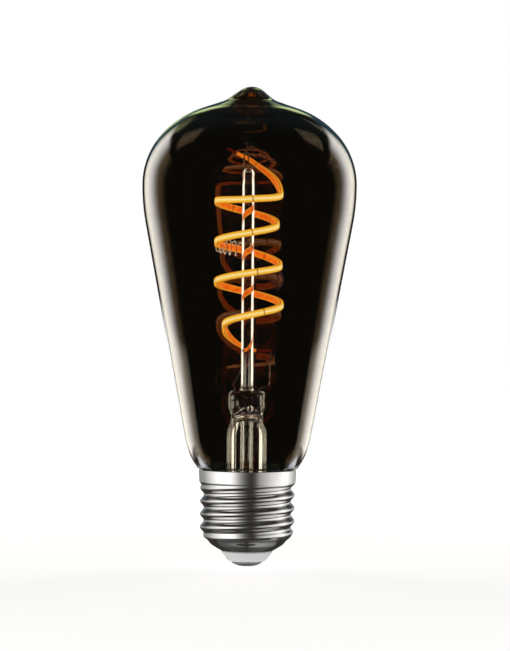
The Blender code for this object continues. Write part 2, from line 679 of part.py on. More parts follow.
def main():
    clear_scene()
    looks = finishes()
    glass_bulb(looks)
    glass_stem(looks)
    exhaust_tube(looks)
    support_rod(looks)
    filament(looks)
    tabs = {
        "top": strip_tab("filament_top_tab", FILAMENT_KEYS[0][0], -1, 0.0024, -0.0004, looks),
        "bottom": strip_tab("filament_bottom_tab", FILAMENT_KEYS[-1][0], 1, 0.0042, 0.0010, looks),
    }
    support_coil(looks)
    lead_wires(tabs, looks)
    screw_cap(looks)
    cap_fittings(looks)
    driver(looks)
    radio(looks)


main()
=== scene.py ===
"""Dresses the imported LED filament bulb: glass, filament, cap, electronics and a small stage.

Metres, +Z from the centre contact up to the glass tip, -Y to the front.
"""

import math

import bmesh
import bpy
import numpy as np
from bpy.props import FloatProperty, FloatVectorProperty, IntProperty, PointerProperty
from mathutils import Euler, Matrix, Vector, noise


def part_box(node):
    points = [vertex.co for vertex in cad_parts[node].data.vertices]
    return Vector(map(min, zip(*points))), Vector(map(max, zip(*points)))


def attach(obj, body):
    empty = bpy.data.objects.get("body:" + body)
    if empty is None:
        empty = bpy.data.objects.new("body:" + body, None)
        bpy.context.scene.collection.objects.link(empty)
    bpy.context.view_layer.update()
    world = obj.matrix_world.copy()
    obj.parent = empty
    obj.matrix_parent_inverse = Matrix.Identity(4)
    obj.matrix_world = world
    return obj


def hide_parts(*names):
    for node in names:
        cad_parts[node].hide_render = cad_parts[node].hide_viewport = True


bl_info = {
    "name": "Filament Bulb Dresser",
    "version": (1, 0, 0),
    "blender": (4, 5, 0),
    "location": "View3D > Sidebar > Bulb",
    "description": "Builds the fine meshes and finishes of a smart LED filament bulb",
    "category": "Object",
}

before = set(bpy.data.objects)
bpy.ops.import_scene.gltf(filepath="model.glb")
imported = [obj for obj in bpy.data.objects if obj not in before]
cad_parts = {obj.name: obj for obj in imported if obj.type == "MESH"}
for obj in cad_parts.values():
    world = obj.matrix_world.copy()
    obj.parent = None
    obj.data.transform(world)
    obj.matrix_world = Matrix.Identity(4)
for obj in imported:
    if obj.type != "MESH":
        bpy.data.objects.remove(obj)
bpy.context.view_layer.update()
GLASS_LOW, GLASS_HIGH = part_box("glass_bulb")
STEM_LOW, STEM_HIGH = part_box("glass_stem")
ROD_LOW, ROD_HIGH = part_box("support_rod")
TUBE_LOW, TUBE_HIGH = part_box("exhaust_tube")
CAP_LOW, CAP_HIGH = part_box("screw_cap")
LEFT_SEAL_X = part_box("left_seal_wire")[0].x + 0.0002
RIGHT_SEAL_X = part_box("right_seal_wire")[1].x - 0.0002
SEAL_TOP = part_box("right_seal_wire")[1].z
STEM_X = (ROD_LOW.x + ROD_HIGH.x) / 2
BODY = "root"
WHITE = (1.0, 1.0, 1.0)


# Settings -----------------------------------------------------------------------------------


def length(name, description, default):
    return FloatProperty(
        name=name, description=description, default=default, unit="LENGTH", subtype="DISTANCE"
    )


def number(name, description, default):
    return FloatProperty(name=name, description=description, default=default)


def turn(name, description, degrees):
    return FloatProperty(
        name=name, description=description, default=math.radians(degrees), subtype="ANGLE"
    )


def colour(name, description, default):
    return FloatVectorProperty(
        name=name, description=description, default=default, size=3, subtype="COLOR",
        min=0.0, max=1.0,
    )


class GlassSettings(bpy.types.PropertyGroup):
    wall: length("Wall", "Thickness of the blown wall", 0.0008)
    shoulder: length("Shoulder radius", "Radius of the rounded shoulder", 0.0210)
    crown: length("Crown radius", "Radius of the flatter curve above the shoulder", 0.0256)
    belly: length("Belly radius", "Radius of the long curve under the shoulder", 0.060)
    tip_rise: length("Tip rise", "Height of the tip over the widest place", 0.02755)
    cone_end: length("Cone end", "Height where the cone meets the turn in to the neck", 0.0356)
    neck: length("Neck radius", "Radius of the neck inside the cap", 0.0112)
    foot: length("Foot radius", "Radius of the turn in to the neck", 0.0192)
    cone: turn("Cone half angle", "Slope of the cone's side", 10.56)
    smoke: colour("Smoke", "Light that one wall lets through", (0.50, 0.475, 0.435))
    clear: colour("Clear", "Tint of the stem and rod", (0.97, 0.985, 0.975))
    film: number("Film", "Thickness of the coat in nanometres", 313.0)
    segments: IntProperty(name="Segments", description="Steps round the bulb", default=144)


class FilamentSettings(bpy.types.PropertyGroup):
    width: length("Strip width", "Width of the coated strip", 0.0019)
    chip_pitch: length("Chip pitch", "Distance from one LED chip to the next", 0.00106)
    front: colour("Front glow", "Glow of the coat over the chips", (1.0, 0.62, 0.06))
    chip: colour("Chip glow", "Glow right over a chip", (1.0, 0.91, 0.55))
    back: colour("Back glow", "Glow of the inner coat", (1.0, 0.235, 0.016))
    front_power: number("Front power", "Strength of the front glow", 2.0)
    chip_power: number("Chip power", "Strength over a chip", 2.1)
    back_power: number("Back power", "Strength of the inner glow", 1.6)


class CapSettings(bpy.types.PropertyGroup):
    pitch: length("Thread pitch", "Rise of the thread in one turn", 0.003629)
    major: length("Crest radius", "Radius over the thread's crests", 0.01325)
    minor: length("Root radius", "Radius over the thread's roots", 0.0122)
    crest_z: length("Crest height", "Height of a crest at the right-hand side", 0.0162)
    thread_top: length("Thread top", "Height where the thread has run out into the collar", 0.0236)
    thread_bottom: length("Thread bottom", "Height where the thread ends at the lower cone", 0.0080)
    collar: length("Collar radius", "Radius of the collar's foot", 0.0135)
    sheet: length("Sheet", "Thickness of the pressed sheet", 0.0003)
    nickel: colour("Nickel", "Colour of the plating", (0.78, 0.765, 0.745))


class StageSettings(bpy.types.PropertyGroup):
    distance: length("Camera distance", "From the camera to the bulb's axis", 0.660)
    lens: number("Lens", "Focal length in millimetres", 130.3)
    aim: length("Camera height", "Height of the camera, which looks level", 0.0672)
    aside: length("Camera shift", "From the bulb's axis to the camera's", 0.0018)
    roll: turn("Camera roll", "Turn of the camera about its line of sight", -0.42)
    floor: colour("Floor", "Colour of the floor", (0.93, 0.93, 0.93))
    rim: number("Rim light", "Brightness of the two tall rim lights", 1.6)
    edge: number("Edge light", "Brightness of the rod's and stem's edges", 2.2)
    tent: number("Cap light", "Brightness of the light tent for the cap", 1.0)


class BulbSettings(bpy.types.PropertyGroup):
    glass: PointerProperty(type=GlassSettings)
    filament: PointerProperty(type=FilamentSettings)
    cap: PointerProperty(type=CapSettings)
    stage: PointerProperty(type=StageSettings)


# Node trees ---------------------------------------------------------------------------------


class Value:
    """A node's output that can stand in a Python expression."""

    def __init__(self, graph, socket):
        self.graph, self.socket = graph, socket

    def maths(self, operation, *values):
        return self.graph.node("ShaderNodeMath", {"operation": operation}, dict(enumerate(values)))

    def __add__(self, other):
        return self.maths("ADD", self, other)

    def __sub__(self, other):
        return self.maths("SUBTRACT", self, other)

    def __mul__(self, other):
        return self.maths("MULTIPLY", self, other)

    def __truediv__(self, other):
        return self.maths("DIVIDE", self, other)

    def __rsub__(self, other):
        return self.maths("SUBTRACT", other, self)

    def __lt__(self, other):
        return self.maths("LESS_THAN", self, other)

    def fraction(self):
        return self.maths("FRACT", self)

    def size(self):
        return self.maths("ABSOLUTE", self)

    def beside(self, output):
        """Another output of the same node."""
        return Value(self.graph, self.socket.node.outputs[output])


class Graph:
    """A node tree under construction."""

    def __init__(self, tree):
        self.tree = tree

    def node(self, kind, settings=None, inputs=None, output=0):
        """Adds a node, sets it up, fills its sockets and returns one of its outputs."""
        made = self.tree.nodes.new(kind)
        for name, value in (settings or {}).items():
            setattr(made, name, value)
        for key, value in (inputs or {}).items():
            self.put(made.inputs[key], value)
        return Value(self, made.outputs[output])

    def put(self, socket, value):
        if isinstance(value, Value):
            self.tree.links.new(value.socket, socket)
        else:
            socket.default_value = value


class Look(Graph):
    """The nodes of a material, a light or the world."""

    def __init__(self, owner):
        owner.use_nodes = True
        super().__init__(owner.node_tree)
        self.owner = owner

    def place(self, scale, squash=(1, 1, 1)):
        """Object coordinates in units of scale, with each axis stretched by its squash."""
        spot = self.node("ShaderNodeTexCoord", output="Object")
        factors = tuple(factor / scale for factor in squash)
        return self.node("ShaderNodeMapping", inputs={"Vector": spot, "Scale": factors})

    def grain(self, scale, detail=3.0, squash=(1, 1, 1)):
        """Noise with features of about the given size in metres."""
        return self.node(
            "ShaderNodeTexNoise", {"noise_dimensions": "3D"},
            {"Vector": self.place(scale, squash), "Scale": 1.0, "Detail": detail, "Roughness": 0.55},
        )

    def attribute(self, name):
        return self.node("ShaderNodeAttribute", {"attribute_name": name}, output="Fac")

    def soften(self, value, low, high, out_low=0.0, out_high=1.0):
        """Value from low to high, as a smooth step from out_low to out_high."""
        return self.node(
            "ShaderNodeMapRange", {"interpolation_type": "SMOOTHSTEP"},
            {"Value": value, "From Min": low, "From Max": high, "To Min": out_low, "To Max": out_high},
        )

    def blend(self, factor, first, second):
        """A colour between two colours."""
        a = (*first, 1.0) if isinstance(first, tuple) else first
        b = (*second, 1.0) if isinstance(second, tuple) else second
        return self.node("ShaderNodeMix", {"data_type": "RGBA"}, {0: factor, 6: a, 7: b}, output=2)

    def bump(self, height, depth):
        return self.node(
            "ShaderNodeBump", inputs={"Height": height, "Strength": 1.0, "Distance": depth}
        )

    def joint(self, along, pitch, half_width):
        """One on the lines that cross a strip once every pitch, with half a width in pitches."""
        return ((along / pitch).fraction() - 0.5).size() < half_width

    def finish(self, **sockets):
        """Sets the Principled shader's sockets, named with underscores for spaces."""
        shader = self.tree.nodes["Principled BSDF"]
        for name, value in sockets.items():
            if isinstance(value, tuple) and len(value) == 3:
                value = (*value, 1.0)
            self.put(shader.inputs[name.replace("_", " ")], value)
        return self.owner


def material(name):
    return Look(bpy.data.materials.new(name))


# Finishes -----------------------------------------------------------------------------------

GLASS_IOR = 1.52
SILICONE_IOR = 1.41


def polished_glass(name, tint, thin_tint, grain, depth):
    """Fire-polished glass whose tint and surface are a little uneven."""
    look = material(name)
    wave = look.grain(detail=1.0, **grain)
    return look.finish(
        Base_Color=look.blend(wave, tint, thin_tint), Roughness=0.0, IOR=GLASS_IOR,
        Transmission_Weight=1.0, Normal=look.bump(wave, depth),
    )


def blown_glass():
    """The bulb's outer skin, with the faint waviness of blown work."""
    grain = {"scale": 0.030, "squash": (1, 1, 0.5)}
    return polished_glass("blown_glass", (0.97, 0.98, 0.965), (0.94, 0.955, 0.935), grain, 0.00003)


def clear_glass(settings):
    """Soda glass, drawn and pressed hot."""
    clear = tuple(settings.clear)
    thin = tuple(0.985 * part for part in clear)
    return polished_glass("clear_glass", clear, thin, {"scale": 0.0035, "squash": (1, 1, 0.35)}, 0.000004)


def smoke_coat(settings):
    """The thin smoke-grey metal film inside the bulb, which mirrors a little red."""
    look = material("smoke_coat")
    # A Principled glass tints by the root of its colour at each face, and only this face is coated.
    smoke = tuple(part ** 2 for part in settings.smoke)
    deeper = tuple(0.90 * part for part in smoke)
    return look.finish(
        Base_Color=look.blend(look.grain(0.012, detail=2.0), smoke, deeper), Roughness=0.0,
        IOR=GLASS_IOR, Transmission_Weight=1.0, Thin_Film_Thickness=settings.film, Thin_Film_IOR=1.7,
    )


def bright_nickel(settings):
    """Nickel plate over pressed sheet: mirror bright, with faint rolling lines and handling marks."""
    look = material("bright_nickel")
    lines = look.grain(0.0022, detail=4.0, squash=(0.12, 0.12, 9))
    smears = look.grain(0.006, detail=3.0)
    nickel = tuple(settings.nickel)
    dull = tuple(0.90 * part for part in nickel)
    return look.finish(
        Base_Color=look.blend(look.soften(smears, 0.35, 0.75), nickel, dull), Metallic=1.0,
        Roughness=look.soften(smears * 0.6 + lines * 0.4, 0.35, 0.70, 0.035, 0.09),
        Normal=look.bump(lines, 0.000004),
    )


def white_plastic():
    """Satin moulded insulator."""
    look = material("white_plastic")
    skin = look.grain(0.0007, detail=3.0)
    tone = look.grain(0.008, detail=2.0)
    return look.finish(
        Base_Color=look.blend(tone, (0.66, 0.665, 0.665), (0.61, 0.615, 0.61)),
        Roughness=look.soften(skin, 0.3, 0.7, 0.38, 0.50), Normal=look.bump(skin, 0.000008),
    )


def front_coat(settings):
    """Yellow silicone over the chips, deeper in colour towards its edges and at the joints."""
    look = material("front_coat")
    along, across = look.attribute("along"), look.attribute("across")
    beat = ((along / settings.chip_pitch).fraction() - 0.5).size()
    near_chip = look.soften(beat, 0.14, 0.42, 1.0, 0.0) * look.soften(across.size(), 0.06, 0.52, 1.0, 0.0)
    edge = look.soften(across.size(), 0.50, 0.95)
    joint = look.joint(along, settings.chip_pitch * 13, 0.012)
    front, chip = tuple(settings.front), tuple(settings.chip)
    deep = (0.75, 0.32, 0.015)
    glow = look.blend(edge * 0.9, look.blend(near_chip * 0.90, front, chip), deep)
    glow = look.blend(joint * 0.75, glow, (0.25, 0.05, 0.0))
    return look.finish(
        Base_Color=glow, Roughness=0.45, IOR=SILICONE_IOR, Emission_Color=glow,
        Emission_Strength=settings.front_power,
    )


def chip_dome(settings):
    """The coat's brightest part, right over a chip."""
    look = material("chip_dome")
    glow = look.blend(look.grain(0.0004, detail=1.0), tuple(settings.chip), (1.0, 0.86, 0.42))
    return look.finish(
        Base_Color=glow, Roughness=0.35, Emission_Color=glow, Emission_Strength=settings.chip_power
    )


def back_coat(settings):
    """Orange silicone on the inner side, crossed by the thin dark joints of the strip."""
    look = material("back_coat")
    along, across = look.attribute("along"), look.attribute("across")
    cloud = look.grain(0.0011, detail=2.0)
    joint = look.joint(along, settings.chip_pitch * 12.3, 0.011)
    edge = look.soften(across.size(), 0.62, 0.95)
    back = tuple(settings.back)
    glow = look.blend(look.soften(cloud, 0.35, 0.65), back, (0.80, 0.135, 0.008))
    glow = look.blend(edge * 0.85, glow, (1.0, 0.48, 0.04))
    glow = look.blend(joint * 0.8, glow, (0.10, 0.02, 0.0))
    return look.finish(
        Base_Color=glow, Roughness=0.5, IOR=SILICONE_IOR, Emission_Color=glow,
        Emission_Strength=settings.back_power,
    )


def plain(name, first, second, scale, metallic=0.0, rough=(0.3, 0.5), depth=0.000008, **more):
    """A finish of two close tones with a fine surface grain."""
    look = material(name)
    grain = look.grain(scale, detail=4.0)
    return look.finish(
        Base_Color=look.blend(grain, first, second), Metallic=metallic,
        Roughness=look.soften(grain, 0.3, 0.7, *rough), Normal=look.bump(grain, depth), **more,
    )


def circuit_board():
    """Green solder mask with raised tracks and pads."""
    look = material("circuit_board")
    cells = look.node(
        "ShaderNodeTexVoronoi", {"feature": "DISTANCE_TO_EDGE"},
        {"Vector": look.place(0.0016), "Scale": 1.0, "Randomness": 0.35},
    )
    tracks = look.soften(cells, 0.06, 0.12)
    speck = look.grain(0.0005, detail=3.0)
    mask = look.blend(speck, (0.012, 0.115, 0.045), (0.020, 0.16, 0.065))
    return look.finish(
        Base_Color=look.blend(tracks, mask, (0.045, 0.25, 0.10)),
        Roughness=look.soften(speck, 0.3, 0.7, 0.25, 0.40), Normal=look.bump(tracks, 0.00003),
    )


def capacitor_sleeve():
    """Shrink sleeve with the pale stripe of the minus side."""
    look = material("capacitor_sleeve")
    low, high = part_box("electrolytic_capacitor")
    spot = look.node("ShaderNodeTexCoord", output="Object")
    side = look.node("ShaderNodeSeparateXYZ", inputs={0: spot}, output="Y")
    stripe = look.soften(side - (low.y + high.y) / 2, -0.0022, -0.0020, 1.0, 0.0)
    grain = look.grain(0.0008)
    sleeve = look.blend(grain, (0.015, 0.018, 0.035), (0.025, 0.028, 0.050))
    return look.finish(
        Base_Color=look.blend(stripe, sleeve, (0.55, 0.57, 0.60)),
        Roughness=look.soften(grain, 0.3, 0.7, 0.25, 0.35), Normal=look.bump(grain, 0.00001),
    )


# Mesh making --------------------------------------------------------------------------------


def object_of(name, mesh, finish=None, smooth=True, crease=40):
    """A new object at the origin for a mesh already in its place."""
    if finish:
        mesh.materials.append(finish)
    if smooth:
        mesh.shade_smooth()
        mesh.set_sharp_from_angle(angle=math.radians(crease))
    made = bpy.data.objects.new(name, mesh)
    bpy.context.scene.collection.objects.link(made)
    return made


def surface(name, rows, finish, closed_rows=False, crease=40, inner=None, inner_rows=0):
    """A skin over rows of equal rings. Rings of one repeated point close to a pole.

    The first inner_rows bands take the inner finish.
    """
    bm = bmesh.new()
    made = [[bm.verts.new(point) for point in row] for row in rows]
    pairs = list(zip(made, made[1:])) + ([(made[-1], made[0])] if closed_rows else [])
    for n, (lower, upper) in enumerate(pairs):
        for i, corner in enumerate(lower):
            j = (i + 1) % len(lower)
            face = bm.faces.new((corner, lower[j], upper[j], upper[i]))
            face.material_index = int(n < inner_rows)
    bmesh.ops.remove_doubles(bm, verts=bm.verts, dist=1e-7)
    bmesh.ops.recalc_face_normals(bm, faces=bm.faces)
    mesh = bpy.data.meshes.new(name)
    bm.to_mesh(mesh)
    bm.free()
    made = object_of(name, mesh, finish, crease=crease)
    if inner:
        mesh.materials.append(inner)
    return made


def ring(radius, z, segments, centre=(0, 0)):
    step = math.tau / segments
    return [
        (centre[0] + radius * math.cos(i * step), centre[1] + radius * math.sin(i * step), z)
        for i in range(segments)
    ]


def turned(name, outline, finish, segments=96, centre=(0, 0), crease=40):
    """A solid of revolution from (radius, height) points round its section."""
    rows = [ring(radius, z, segments, centre) for radius, z in outline]
    on_axis = outline[0][0] == 0 and outline[-1][0] == 0
    return surface(name, rows, finish, closed_rows=not on_axis, crease=crease)


def share(value, low, high):
    """How far a value is from low to high, held between nought and one."""
    return min(max((value - low) / (high - low), 0), 1)


def arc(centre, radius, start, end, steps):
    """Points on a circle, angles in radians up from the outward direction."""
    return [
        (
            centre[0] + radius * math.cos(start + (end - start) * i / steps),
            centre[1] + radius * math.sin(start + (end - start) * i / steps),
        )
        for i in range(steps + 1)
    ]


def bend(start, corner, end, steps):
    """A smooth bend that leaves start and reaches end along the corner's two sides."""
    points = []
    for i in range(steps + 1):
        t = i / steps
        weights = ((1 - t) ** 2, 2 * t * (1 - t), t ** 2)
        points.append(tuple(
            sum(w * p[axis] for w, p in zip(weights, (start, corner, end)))
            for axis in range(len(start))
        ))
    return points


def hermite(keys, at):
    """Each key is (place, value, ...). Smooth values at a place, through all the keys."""
    last = len(keys) - 1
    i = max((n for n in range(last) if keys[n][0] <= at + 1e-12), default=0)

    def slope(n, axis):
        low, high = keys[max(n - 1, 0)], keys[min(n + 1, last)]
        return (high[axis] - low[axis]) / (high[0] - low[0])

    width = keys[i + 1][0] - keys[i][0]
    t = (at - keys[i][0]) / width
    return [
        (2 * t ** 3 - 3 * t ** 2 + 1) * keys[i][axis]
        + (t ** 3 - 2 * t ** 2 + t) * width * slope(i, axis)
        + (3 * t ** 2 - 2 * t ** 3) * keys[i + 1][axis]
        + (t ** 3 - t ** 2) * width * slope(i + 1, axis)
        for axis in range(1, len(keys[i]))
    ]


def smooth_route(points, steps):
    """A curve through all the points, with the given number of steps a stretch."""
    keys = [(n, *point) for n, point in enumerate(points)]
    total = steps * (len(points) - 1)
    return [Vector(hermite(keys, min(n / steps, len(points) - 1 - 1e-9))) for n in range(total)] + [
        Vector(points[-1])
    ]


def path_mesh(name, points, facing=None, girth=None):
    """A chain of edges through the points, with the direction and the girth at each one."""
    mesh = bpy.data.meshes.new(name)
    mesh.from_pydata([tuple(p) for p in points], [(i, i + 1) for i in range(len(points) - 1)], [])
    if facing:
        held = mesh.attributes.new("facing", "FLOAT_VECTOR", "POINT")
        held.data.foreach_set("vector", np.array([tuple(f) for f in facing], np.float32).ravel())
        thick = mesh.attributes.new("girth", "FLOAT", "POINT")
        thick.data.foreach_set("value", girth or [1.0] * len(points))
    made = bpy.data.objects.new(name, mesh)
    bpy.context.scene.collection.objects.link(made)
    return made


# Geometry Nodes -----------------------------------------------------------------------------


class Tree(Graph):
    """A Geometry Nodes tree with named inputs."""

    def __init__(self, name, sizes):
        super().__init__(bpy.data.node_groups.new(name, "GeometryNodeTree"))
        self.identifiers = {}
        face = self.tree.interface
        face.new_socket("Geometry", in_out="INPUT", socket_type="NodeSocketGeometry")
        for label, kind in sizes.items():
            made = face.new_socket(label, in_out="INPUT", socket_type="NodeSocket" + kind)
            self.identifiers[label] = made.identifier
        face.new_socket("Geometry", in_out="OUTPUT", socket_type="NodeSocketGeometry")
        self.start = self.tree.nodes.new("NodeGroupInput")

    def given(self, label):
        """One of the tree's own inputs."""
        return Value(self, self.start.outputs[label])

    def held(self, name, kind="FLOAT"):
        """An attribute of the path."""
        return self.node("GeometryNodeInputNamedAttribute", {"data_type": kind}, {"Name": name})

    def store(self, geometry, name, value):
        return self.node(
            "GeometryNodeStoreNamedAttribute", {"data_type": "FLOAT", "domain": "POINT"},
            {"Geometry": geometry, "Name": name, "Value": value},
        )

    def curve(self):
        """The path as a curve."""
        return self.node("GeometryNodeMeshToCurve", inputs={0: self.given("Geometry")})

    def aimed_curve(self):
        """The path as a curve whose normals are the facing directions."""
        return self.node(
            "GeometryNodeSetCurveNormal", {"mode": "FREE"},
            {"Curve": self.curve(), "Normal": self.held("facing", "FLOAT_VECTOR")},
        )

    def moved(self, geometry, **more):
        """The geometry moved out from the path by the tree's offset."""
        shift = self.node("ShaderNodeCombineXYZ", inputs={"X": self.given("Offset")})
        return self.node(
            "GeometryNodeTransform", inputs={"Geometry": geometry, "Translation": shift, **more}
        )

    def swept(self, curve, section, **more):
        return self.node(
            "GeometryNodeCurveToMesh",
            inputs={"Curve": curve, "Profile Curve": section, "Fill Caps": True, **more},
        )

    def close(self, geometry):
        """Ends the tree: instances made real, and the finish put on."""
        real = self.node("GeometryNodeRealizeInstances", inputs={0: geometry})
        painted = self.node(
            "GeometryNodeSetMaterial", inputs={0: real, "Material": self.given("Finish")}
        )
        self.put(self.tree.nodes.new("NodeGroupOutput").inputs[0], painted)
        return self


def grown(obj, tree, values):
    """Runs a tree on an object and leaves its result as a plain mesh."""
    modifier = obj.modifiers.new(tree.tree.name, "NODES")
    modifier.node_group = tree.tree
    for label, value in values.items():
        modifier[tree.identifiers[label]] = value
    graph = bpy.context.evaluated_depsgraph_get()
    mesh = bpy.data.meshes.new_from_object(
        obj.evaluated_get(graph), preserve_all_data_layers=True, depsgraph=graph
    )
    obj.modifiers.clear()
    source = obj.data
    obj.data = mesh
    bpy.data.meshes.remove(source)
    mesh.name = obj.name
    mesh.shade_smooth()
    mesh.set_sharp_from_angle(angle=math.radians(50))
    if not mesh.polygons:
        raise RuntimeError(f"{obj.name} came out empty")
    return obj


def strip_tree():
    """Sweeps a round-edged strip along a path, its flat side to the facing direction."""
    tree = Tree("Strip along a path", {
        "Width": "Float", "Thickness": "Float", "Edge radius": "Float", "Offset": "Float",
        "Finish": "Material",
    })
    reach = tree.node("GeometryNodeSplineParameter", output="Length")
    path = tree.store(tree.aimed_curve(), "along", reach)
    section = tree.node(
        "GeometryNodeCurvePrimitiveQuadrilateral",
        inputs={"Width": tree.given("Thickness"), "Height": tree.given("Width")},
    )
    rounded = tree.node(
        "GeometryNodeFilletCurve", {"mode": "POLY"},
        {"Curve": section, "Count": 4, "Radius": tree.given("Edge radius"), "Limit Radius": True},
    )
    spot = tree.node("GeometryNodeInputPosition")
    side = tree.node("ShaderNodeSeparateXYZ", inputs={0: spot}, output="Y")
    marked = tree.store(rounded, "across", side / (tree.given("Width") * 0.5))
    return tree.close(tree.swept(path, tree.moved(marked), Scale=tree.held("girth")))


def chip_tree():
    """Sets a small dome every pitch along a path, flat on the facing direction."""
    tree = Tree("Domes along a path", {
        "Pitch": "Float", "Length": "Float", "Width": "Float", "Height": "Float",
        "Offset": "Float", "Finish": "Material",
    })
    points = tree.node(
        "GeometryNodeCurveToPoints", {"mode": "LENGTH"},
        {"Curve": tree.aimed_curve(), "Length": tree.given("Pitch")}, "Points",
    )
    dome = tree.node("GeometryNodeMeshUVSphere", inputs={"Segments": 10, "Rings": 6, "Radius": 0.5})
    size = tree.node("ShaderNodeCombineXYZ", inputs={
        "X": tree.given("Height"), "Y": tree.given("Width"), "Z": tree.given("Length"),
    })
    return tree.close(tree.node("GeometryNodeInstanceOnPoints", inputs={
        "Points": points, "Instance": tree.moved(dome, Scale=size),
        "Rotation": points.beside("Rotation"),
    }))


def wire_tree():
    """Sweeps a round section along a path."""
    tree = Tree("Wire along a path", {"Radius": "Float", "Sides": "Int", "Finish": "Material"})
    section = tree.node(
        "GeometryNodeCurvePrimitiveCircle",
        inputs={"Resolution": tree.given("Sides"), "Radius": tree.given("Radius")},
    )
    return tree.close(tree.swept(tree.curve(), section))


def wire(name, points, radius, finish, slot, tree):
    """One wire that stands for the CAD node of the same name."""
    piece = grown(path_mesh(name + "_fine", points), tree, {
        "Radius": radius, "Sides": 12, "Finish": finish,
    })
    settle(piece, slot, name)


def settle(piece, slot, *nodes):
    """Joins a finished piece to the bulb's one body, in place of its CAD nodes if it has any."""
    if nodes:
        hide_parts(*nodes)
    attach(piece, BODY)


# Glass --------------------------------------------------------------------------------------

# Where the bulb's side changes from curve to curve, in directions up from straight outward.
FOOT_TURN = math.radians(38)
CROWN_START = math.radians(40)
CROWN_END = math.radians(70.8)
TIP_CONE = math.radians(38)
NECK_TOP = 0.0252


def straight(start, end, steps):
    """The points between two ends, without the ends."""
    return [tuple(a + (b - a) * n / steps for a, b in zip(start, end)) for n in range(1, steps)]


def bulb_side(settings):
    """The bulb's side from the neck to the end of the crown."""
    widest, equator = GLASS_HIGH.x, GLASS_HIGH.z - settings.tip_rise
    slope, cone_end = settings.cone, settings.cone_end
    belly_centre = (widest - settings.belly, equator)
    belly_end = (
        belly_centre[0] + settings.belly * math.cos(slope), equator - settings.belly * math.sin(slope)
    )
    cone_end_radius = belly_end[0] - (belly_end[1] - cone_end) * math.tan(slope)
    foot_centre = (
        cone_end_radius - settings.foot * math.cos(slope), cone_end + settings.foot * math.sin(slope)
    )
    foot = arc(foot_centre, settings.foot, -FOOT_TURN, -slope, 16)
    corner = (settings.neck + 0.0002, CAP_HIGH.z + 0.0001)
    neck = bend((settings.neck, NECK_TOP), corner, foot[0], 14)
    belly = arc(belly_centre, settings.belly, -slope, 0, 14)
    cone = straight(foot[-1], belly[0], 12)
    shoulder = arc((widest - settings.shoulder, equator), settings.shoulder, 0, CROWN_START, 18)
    flatter_by = settings.crown - settings.shoulder
    crown_centre = (
        widest - settings.shoulder - flatter_by * math.cos(CROWN_START),
        equator - flatter_by * math.sin(CROWN_START),
    )
    crown = arc(crown_centre, settings.crown, CROWN_START, CROWN_END, 18)
    return [(settings.neck, GLASS_LOW.z)] + neck + foot[1:] + cone + belly + shoulder[1:] + crown[1:]


def bulb_tip(start):
    """From the crown's end over a straight run, the fillet and the drawn tip to the axis."""
    tip_radius, base_radius, run_end_radius = 0.0055, 0.0058, 0.0080
    slope, fall = math.tan(TIP_CONE), math.tan(math.pi / 2 - CROWN_END)
    run_end = (run_end_radius, start[1] + (start[0] - run_end_radius) * fall)
    tip = arc((0, GLASS_HIGH.z - tip_radius), tip_radius, math.pi / 2 - TIP_CONE, math.pi / 2, 10)
    tip[-1] = (0, GLASS_HIGH.z)
    base = (base_radius, tip[0][1] - (base_radius - tip[0][0]) * slope)
    corner_radius = (base[1] - run_end[1] + slope * base[0] - fall * run_end[0]) / (slope - fall)
    corner = (corner_radius, base[1] - slope * (corner_radius - base[0]))
    fillet = bend(run_end, corner, base, 14)
    return straight(start, run_end, 8) + fillet + straight(base, tip[0], 5) + tip


def moved_in(outline, distance):
    """The outline moved square to itself towards the axis, where its last point stays."""
    points = np.array(outline)
    run = np.gradient(points, axis=0)
    run /= np.linalg.norm(run, axis=1)[:, None]
    moved = points + distance * np.stack([-run[:, 1], run[:, 0]], axis=1)
    moved[0, 1] = points[0, 1]
    moved[-1] = 0, points[-1, 1] - distance
    return [tuple(point) for point in moved.tolist()]


class BULB_OT_glass(bpy.types.Operator):
    """Blow the smoked glass bulb: one even wall from the neck to the drawn tip"""

    bl_idname = "bulb.glass"
    bl_label = "Glass bulb"

    def execute(self, context):
        settings = context.scene.bulb.glass
        side = bulb_side(settings)
        outside = side + bulb_tip(side[-1])
        inside = moved_in(outside, settings.wall)
        # The skin runs down the inside from the axis to the lip, then up the outside to the tip.
        inner = [ring(r, z, settings.segments) for r, z in inside[::-1]]
        outer = [ring(r, z, settings.segments) for r, z in outside]
        piece = surface("bulb_wall", inner + outer, blown_glass(), crease=60,
                        inner=smoke_coat(settings), inner_rows=len(inner) - 1)
        # The drawn tip leans a little to the right.
        tip_foot, tip_shift = 0.1285, 0.0005
        for vert in piece.data.vertices:
            lean = max(vert.co.z - tip_foot, 0) / (GLASS_HIGH.z - tip_foot)
            vert.co.x += tip_shift * lean ** 1.5
        settle(piece, "smoked_glass", "glass_bulb")
        return {"FINISHED"}


def stem_ring(z, half_x, half_y, squareness, count, lift):
    """One ring of the stem: a circle, an ellipse or a flat-sided oval, a little uneven at the press."""
    points = []
    for i in range(count):
        angle = math.tau * i / count
        c, s = math.cos(angle), math.sin(angle)
        power = 2 / squareness
        x = half_x * math.copysign(abs(c) ** power, c)
        y = half_y * math.copysign(abs(s) ** power, s)
        uneven = 1 + lift * noise.noise(Vector((x, y, z)) / 0.0021)
        points.append((STEM_X + x * uneven, y * uneven, z))
    return points


def stem_rows(keys, steps, count):
    """Rings through the keys (height, half x, half y, squareness, unevenness)."""
    rows = []
    low, high = keys[0][0], keys[-1][0]
    for n in range(steps + 1):
        z = low + (high - low) * n / steps
        half_x, half_y, squareness, lift = hermite(keys, min(z, high - 1e-9))
        rows.append(stem_ring(z, max(half_x, 0.0001), max(half_y, 0.0001), max(squareness, 1.9), count, lift))
    return rows


